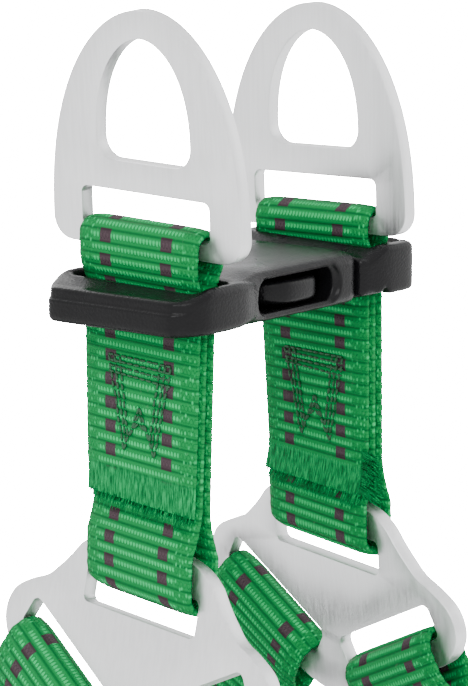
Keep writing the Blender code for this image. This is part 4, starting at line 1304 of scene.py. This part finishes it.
def makeSlider(name, node, body, hold, length, hollow, barAt):
    # a ladder frame round the strap, with a knurled bar that slides on top of it
    wall = fittings["wall"]
    width, height = hollow[0] + 2 * wall, hollow[1] + 2 * wall
    onEnd = Matrix(((0, 0, 1), (1, 0, 0), (0, 1, 0))).to_4x4()
    shape = cutSheet([roundedBox(width, height, 0.0034), roundedBox(hollow[0], hollow[1], 0.0008)], length,
                     0.0007, hold @ onEnd, 3)
    addPiece(name, meshFrom(shape, name), greyAlloy, "root", "fitting_alloy", node)
    lift = hollow[1] / 2 + wall + 0.0003 + 0.0020
    centre = hold @ Vector((barAt, 0, lift))
    way = (hold.to_3x3() @ Vector((0, 1, 0))).normalized()
    face = (hold.to_3x3() @ Vector((0, 0, 1))).normalized()
    ahead = (hold.to_3x3() @ Vector((1, 0, 0))).normalized()
    path = makePath([(centre + way * (0.040 * (step / 20 - 0.5)), ahead, face) for step in range(21)])

    def grip(s):
        ends = min(1.0, min(s, path["total"] - s) / 0.0016)
        return 0.0029 * (0.55 + 0.45 * math.sqrt(max(0.0, ends))) - 0.0002 * (1 + math.cos(s / 0.0018 * 2 * math.pi)) / 2

    bar = tubeMesh(name + "Bar", path, grip, 20, 0.00032, 0.66)
    barNode = node.replace("adjuster_", "adjuster_bar_").replace("buckle_", "buckle_bar_")
    addPiece(name + "Bar", bar, greyAlloy, body, "fitting_alloy", barNode)


def makeRing(word, side, mirrored):
    surface = belt["thick"] / 2 + 0.0005 + webbing["thick"] + 0.0008
    eye = fittings["eye"]
    point, outward, tangent = beltPoint(mirrored(0.0), surface + eye + webbing["thick"] / 2, -0.004)
    down = Vector((0, 0, -1))
    stations = [(point + down * -h - outward * eye, tangent, -outward) for h in (0.040, 0.030, 0.020, 0.012, 0.006)]
    for step in range(13):
        turn = math.pi * step / 12
        out = -math.cos(turn) * outward + math.sin(turn) * down
        stations.append((point + eye * out, tangent, out))
    gap = webbing["thick"] + webbing["gap"]
    for height, inset in ((0.006, 1.0), (0.012, 1.0), (0.018, 0.45), (0.024, 0.0), (0.030, 0.0), (0.040, 0.0)):
        spread = -eye + gap + (2 * eye - gap) * inset
        stations.append((point - down * height + outward * spread, tangent, outward))
    path = makePath(stations)
    look = dict(webbing, perRib=6, across=14)
    mesh = bandMesh("ringKeeper", path, fittings["keeperWidth"], webbing["thick"], look)
    addPiece("ringKeeper" + word.capitalize(), mesh, harnessWebbing, "root", "webbing", "ring_keeper_" + word)
    rows = [((-0.011, path["total"] - back), (0.011, path["total"] - back)) for back in (0.003, 0.007, 0.011, 0.015)]
    seams = threadMesh("ringSeams", *stitchAlong(rows, path, webbing["thick"] / 2, 0.0030), 0.0026, 0.0004)
    addPiece("ringSeams" + word.capitalize(), seams, blackThread, "root", "thread")

    size, rod = fittings["ringSize"], fittings["ringRod"]
    middle = 0.0040
    outline = archOutline(dShape["half"] - middle, dShape["bottom"] + middle, dShape["top"] - middle, 1.9, 0.0060, 20)
    bar = (dShape["bottom"] + middle) * size
    lay = Matrix((tangent, down, tangent.cross(down))).transposed().to_4x4()
    lay.translation = point
    centres = [lay @ Vector((u * size, v * size - bar, 0)) for u, v in outline]
    normal = lay.to_3x3() @ Vector((0, 0, 1))
    loop = []
    for index, centre in enumerate(centres):
        ahead = centres[(index + 1) % len(centres)] - centres[index - 1]
        loop.append((centre, ahead.cross(normal).normalized(), normal))
    ring = tubeMesh("sideRing", makePath(loop, closed=True), lambda s: rod, 20, 0.0014)
    addPiece("sideRing" + word.capitalize(), ring, greyAlloy, "ring_" + word, "fitting_alloy", "side_ring_" + word)


def makeToolLoop(name, angle, node):
    rod, span, drop = fittings["loopRod"], fittings["loopSpan"], fittings["loopDrop"]
    offset = belt["thick"] / 2 + 0.0005 + webbing["thick"] + 0.0008 + rod
    points, outs = [], []
    for step in range(41):
        turn = math.pi * step / 40
        along = -span * math.cos(turn)
        point, outward, _ = beltPoint(angle + along / ((belt["a"] + belt["b"]) / 2),
                                      offset + 0.004 * math.sin(turn), -0.004 - drop * math.sin(turn) ** 0.75)
        points.append(point)
        outs.append(outward)
    stations = []
    for index, point in enumerate(points):
        ahead = points[min(index + 1, 40)] - points[max(index - 1, 0)]
        across = ahead.cross(outs[index]).normalized()
        stations.append((point, across, across.cross(ahead).normalized()))
    path = makePath(stations)

    def sleeve(s):
        middle = min(1.0, max(0.0, (min(s, path["total"] - s) - 0.016) / 0.002))
        ring = 0.5 + 0.5 * math.cos(s / 0.0042 * 2 * math.pi)
        return rod * (0.74 + 0.26 * middle) - 0.00045 * middle * ring ** 4

    addPiece(name, tubeMesh(name, path, sleeve, 16, 0.0005), loopRubber, "root", "loop_rubber", node)
    for end, at in (("A", 0), ("B", 40)):
        point, outward, tangent = beltPoint(angle + (-span if at == 0 else span) / ((belt["a"] + belt["b"]) / 2),
                                            offset - rod - 0.0002, 0.0)
        tab = makePath([(point + Vector((0, 0, 0.016 - 0.024 * step / 8)), tangent, outward) for step in range(9)])
        addPiece(name + "Tab" + end, bandMesh("tab", tab, 0.012, 0.0013, tapeLook), elasticBand, "root", "elastic")
        rows = [((-0.004, 0.003 + 0.003 * row), (0.004, 0.003 + 0.003 * row)) for row in range(4)]
        seams = threadMesh("tabSeams", *stitchAlong(rows, tab, 0.0009, 0.0026), 0.0022, 0.00035)
        addPiece(name + "TabSeams" + end, seams, blackThread, "root", "thread")


def makeElastic(word, side):
    _, _, _, along = legFrame(side)
    start, _, tangent = beltPoint(math.radians(62) if side > 0 else math.radians(118), 0.0,
                                  -belt["height"] / 2 - 0.0030)
    edge, _, legTangent = legPoint(side, 290, 0.0)
    end = edge - along * (leg["width"] / 2 + 0.0030)
    points, acrosses = [], []
    for step in range(31):
        t = step / 30
        points.append(hermite(start, Vector((0, 0, -0.16)), end, along * 0.22, t))
        acrosses.append((tangent * -side).lerp(legTangent, t).normalized())
    path = makePath(turned(orient(points, acrosses)))
    addPiece("seatElastic" + word.capitalize(), bandMesh("elastic", path, 0.020, 0.0020, tapeLook), elasticBand,
             "root", "elastic", "seat_elastic_" + word)


def makeKeeper(word, side, mirrored):
    offset = belt["thick"] / 2 + 0.0005 + webbing["thick"] / 2
    point, outward, tangent = beltPoint(mirrored(math.radians(12)), offset)
    lay = frameAt(point, tangent, outward) @ Matrix.Translation((0, 0, webbing["thick"] / 2 + 0.0006 + 0.0011))
    outline = [roundedBox(0.016, 0.052, 0.0035), roundedBox(0.0060, 0.030, 0.0028)]
    shape = cutSheet(outline, 0.0022, 0.0006, lay, 3)
    addPiece("beltKeeper" + word.capitalize(), meshFrom(shape, "keeper"), buckleBlack, "root", "buckle_plastic",
             "belt_keeper_" + word)


makeWebbingRounds()
for word, side in sides:
    cap = word.capitalize()
    mirrored = (lambda a: a) if side > 0 else (lambda a: math.pi - a)
    layers = 2 * webbing["thick"] + 2 * webbing["gap"]
    foldOffset = belt["thick"] / 2 + 0.0008 + webbing["thick"] + webbing["gap"]
    seat, outward, tangent = beltPoint(mirrored(belt["front"] - math.radians(7)), foldOffset)
    makeSlider("hipAdjuster" + cap, "hip_adjuster_" + word, "hip_bar_" + word, frameAt(seat, tangent, outward),
               fittings["hipLength"], (0.046, layers + 0.0016), -0.002)
    strapOffset = leg["thick"] / 2 + 0.0005 + webbing["thick"] / 2
    seat, outward, tangent = legPoint(side, 60, strapOffset - 0.0003)
    makeSlider("legBuckle" + cap, "leg_buckle_" + word, "leg_bar_" + word, frameAt(seat, tangent, outward),
               fittings["legLength"], (0.046, webbing["thick"] + 0.0032), -0.004)
    makeRing(word, side, mirrored)
    for number, degrees in ((1, 34), (2, 65)):
        makeToolLoop("toolLoop%s%d" % (cap, number), mirrored(math.radians(degrees)),
                     "gear_loop_%s_%d" % (word, number))
    makeElastic(word, side)
    makeKeeper(word, side, mirrored)
print("belt and legs made")


# ---- floor, light and camera ----
stageLook = {"floorSize": 60.0, "floorTone": 0.90, "floorGlow": 0.25, "seenGlow": 60.0,
             "world": 1.7, "lens": 156.2}


def makeStage():
    low = cadBounds[0].z - 0.002
    shape = bmesh.new()
    bmesh.ops.create_grid(shape, x_segments=1, y_segments=1, size=stageLook["floorSize"] / 2)
    bmesh.ops.translate(shape, vec=(0, 0, low), verts=shape.verts)
    floor = bpy.data.objects.new("paleFloor", meshFrom(shape, "paleFloor"))
    bpy.context.scene.collection.objects.link(floor)
    tone = stageLook["floorTone"]
    material, tree, shader, _ = newMaterial("paleFloor", (tone, tone, tone), 0.9)
    shader.inputs["Emission Color"].default_value = (1, 1, 1, 1)
    seen = calc(tree, "MULTIPLY", tree.nodes.new("ShaderNodeLightPath").outputs["Is Camera Ray"],
                stageLook["seenGlow"])
    tree.links.new(calc(tree, "ADD", seen, stageLook["floorGlow"]), shader.inputs["Emission Strength"])
    floor.data.materials.append(material)
    world = bpy.data.worlds.new("softWhite")
    world.use_nodes = True
    world.node_tree.nodes["Background"].inputs["Color"].default_value = (1, 1, 1, 1)
    world.node_tree.nodes["Background"].inputs["Strength"].default_value = stageLook["world"]
    bpy.context.scene.world = world
    lamps = (("keyLight", (-1.4, -1.3, 1.7), 1.2, 34.0), ("fillLight", (1.6, -1.2, 1.0), 1.6, 8.0),
             ("rimLight", (0.6, 1.6, 1.6), 1.2, 14.0))
    for name, where, size, power in lamps:
        data = bpy.data.lights.new(name, "AREA")
        data.size = size
        data.energy = power
        lamp = bpy.data.objects.new(name, data)
        bpy.context.scene.collection.objects.link(lamp)
        aim = Vector((0, -0.15, 0.25)) - Vector(where)
        lamp.matrix_world = Matrix.Translation(where) @ aim.to_track_quat("-Z", "Y").to_matrix().to_4x4()


def makeCamera():
    data = bpy.data.cameras.new("camera")
    data.lens = stageLook["lens"]
    data.clip_end = 100
    camera = bpy.data.objects.new("camera", data)
    bpy.context.scene.collection.objects.link(camera)
    look = Vector((0.7703, 0.6106, -0.1838))
    camera.matrix_world = (Matrix.Translation((-0.6837, -0.7328, 0.4241))
                           @ look.to_track_quat("-Z", "Y").to_matrix().to_4x4())
    bpy.context.scene.camera = camera


makeStage()
makeCamera()
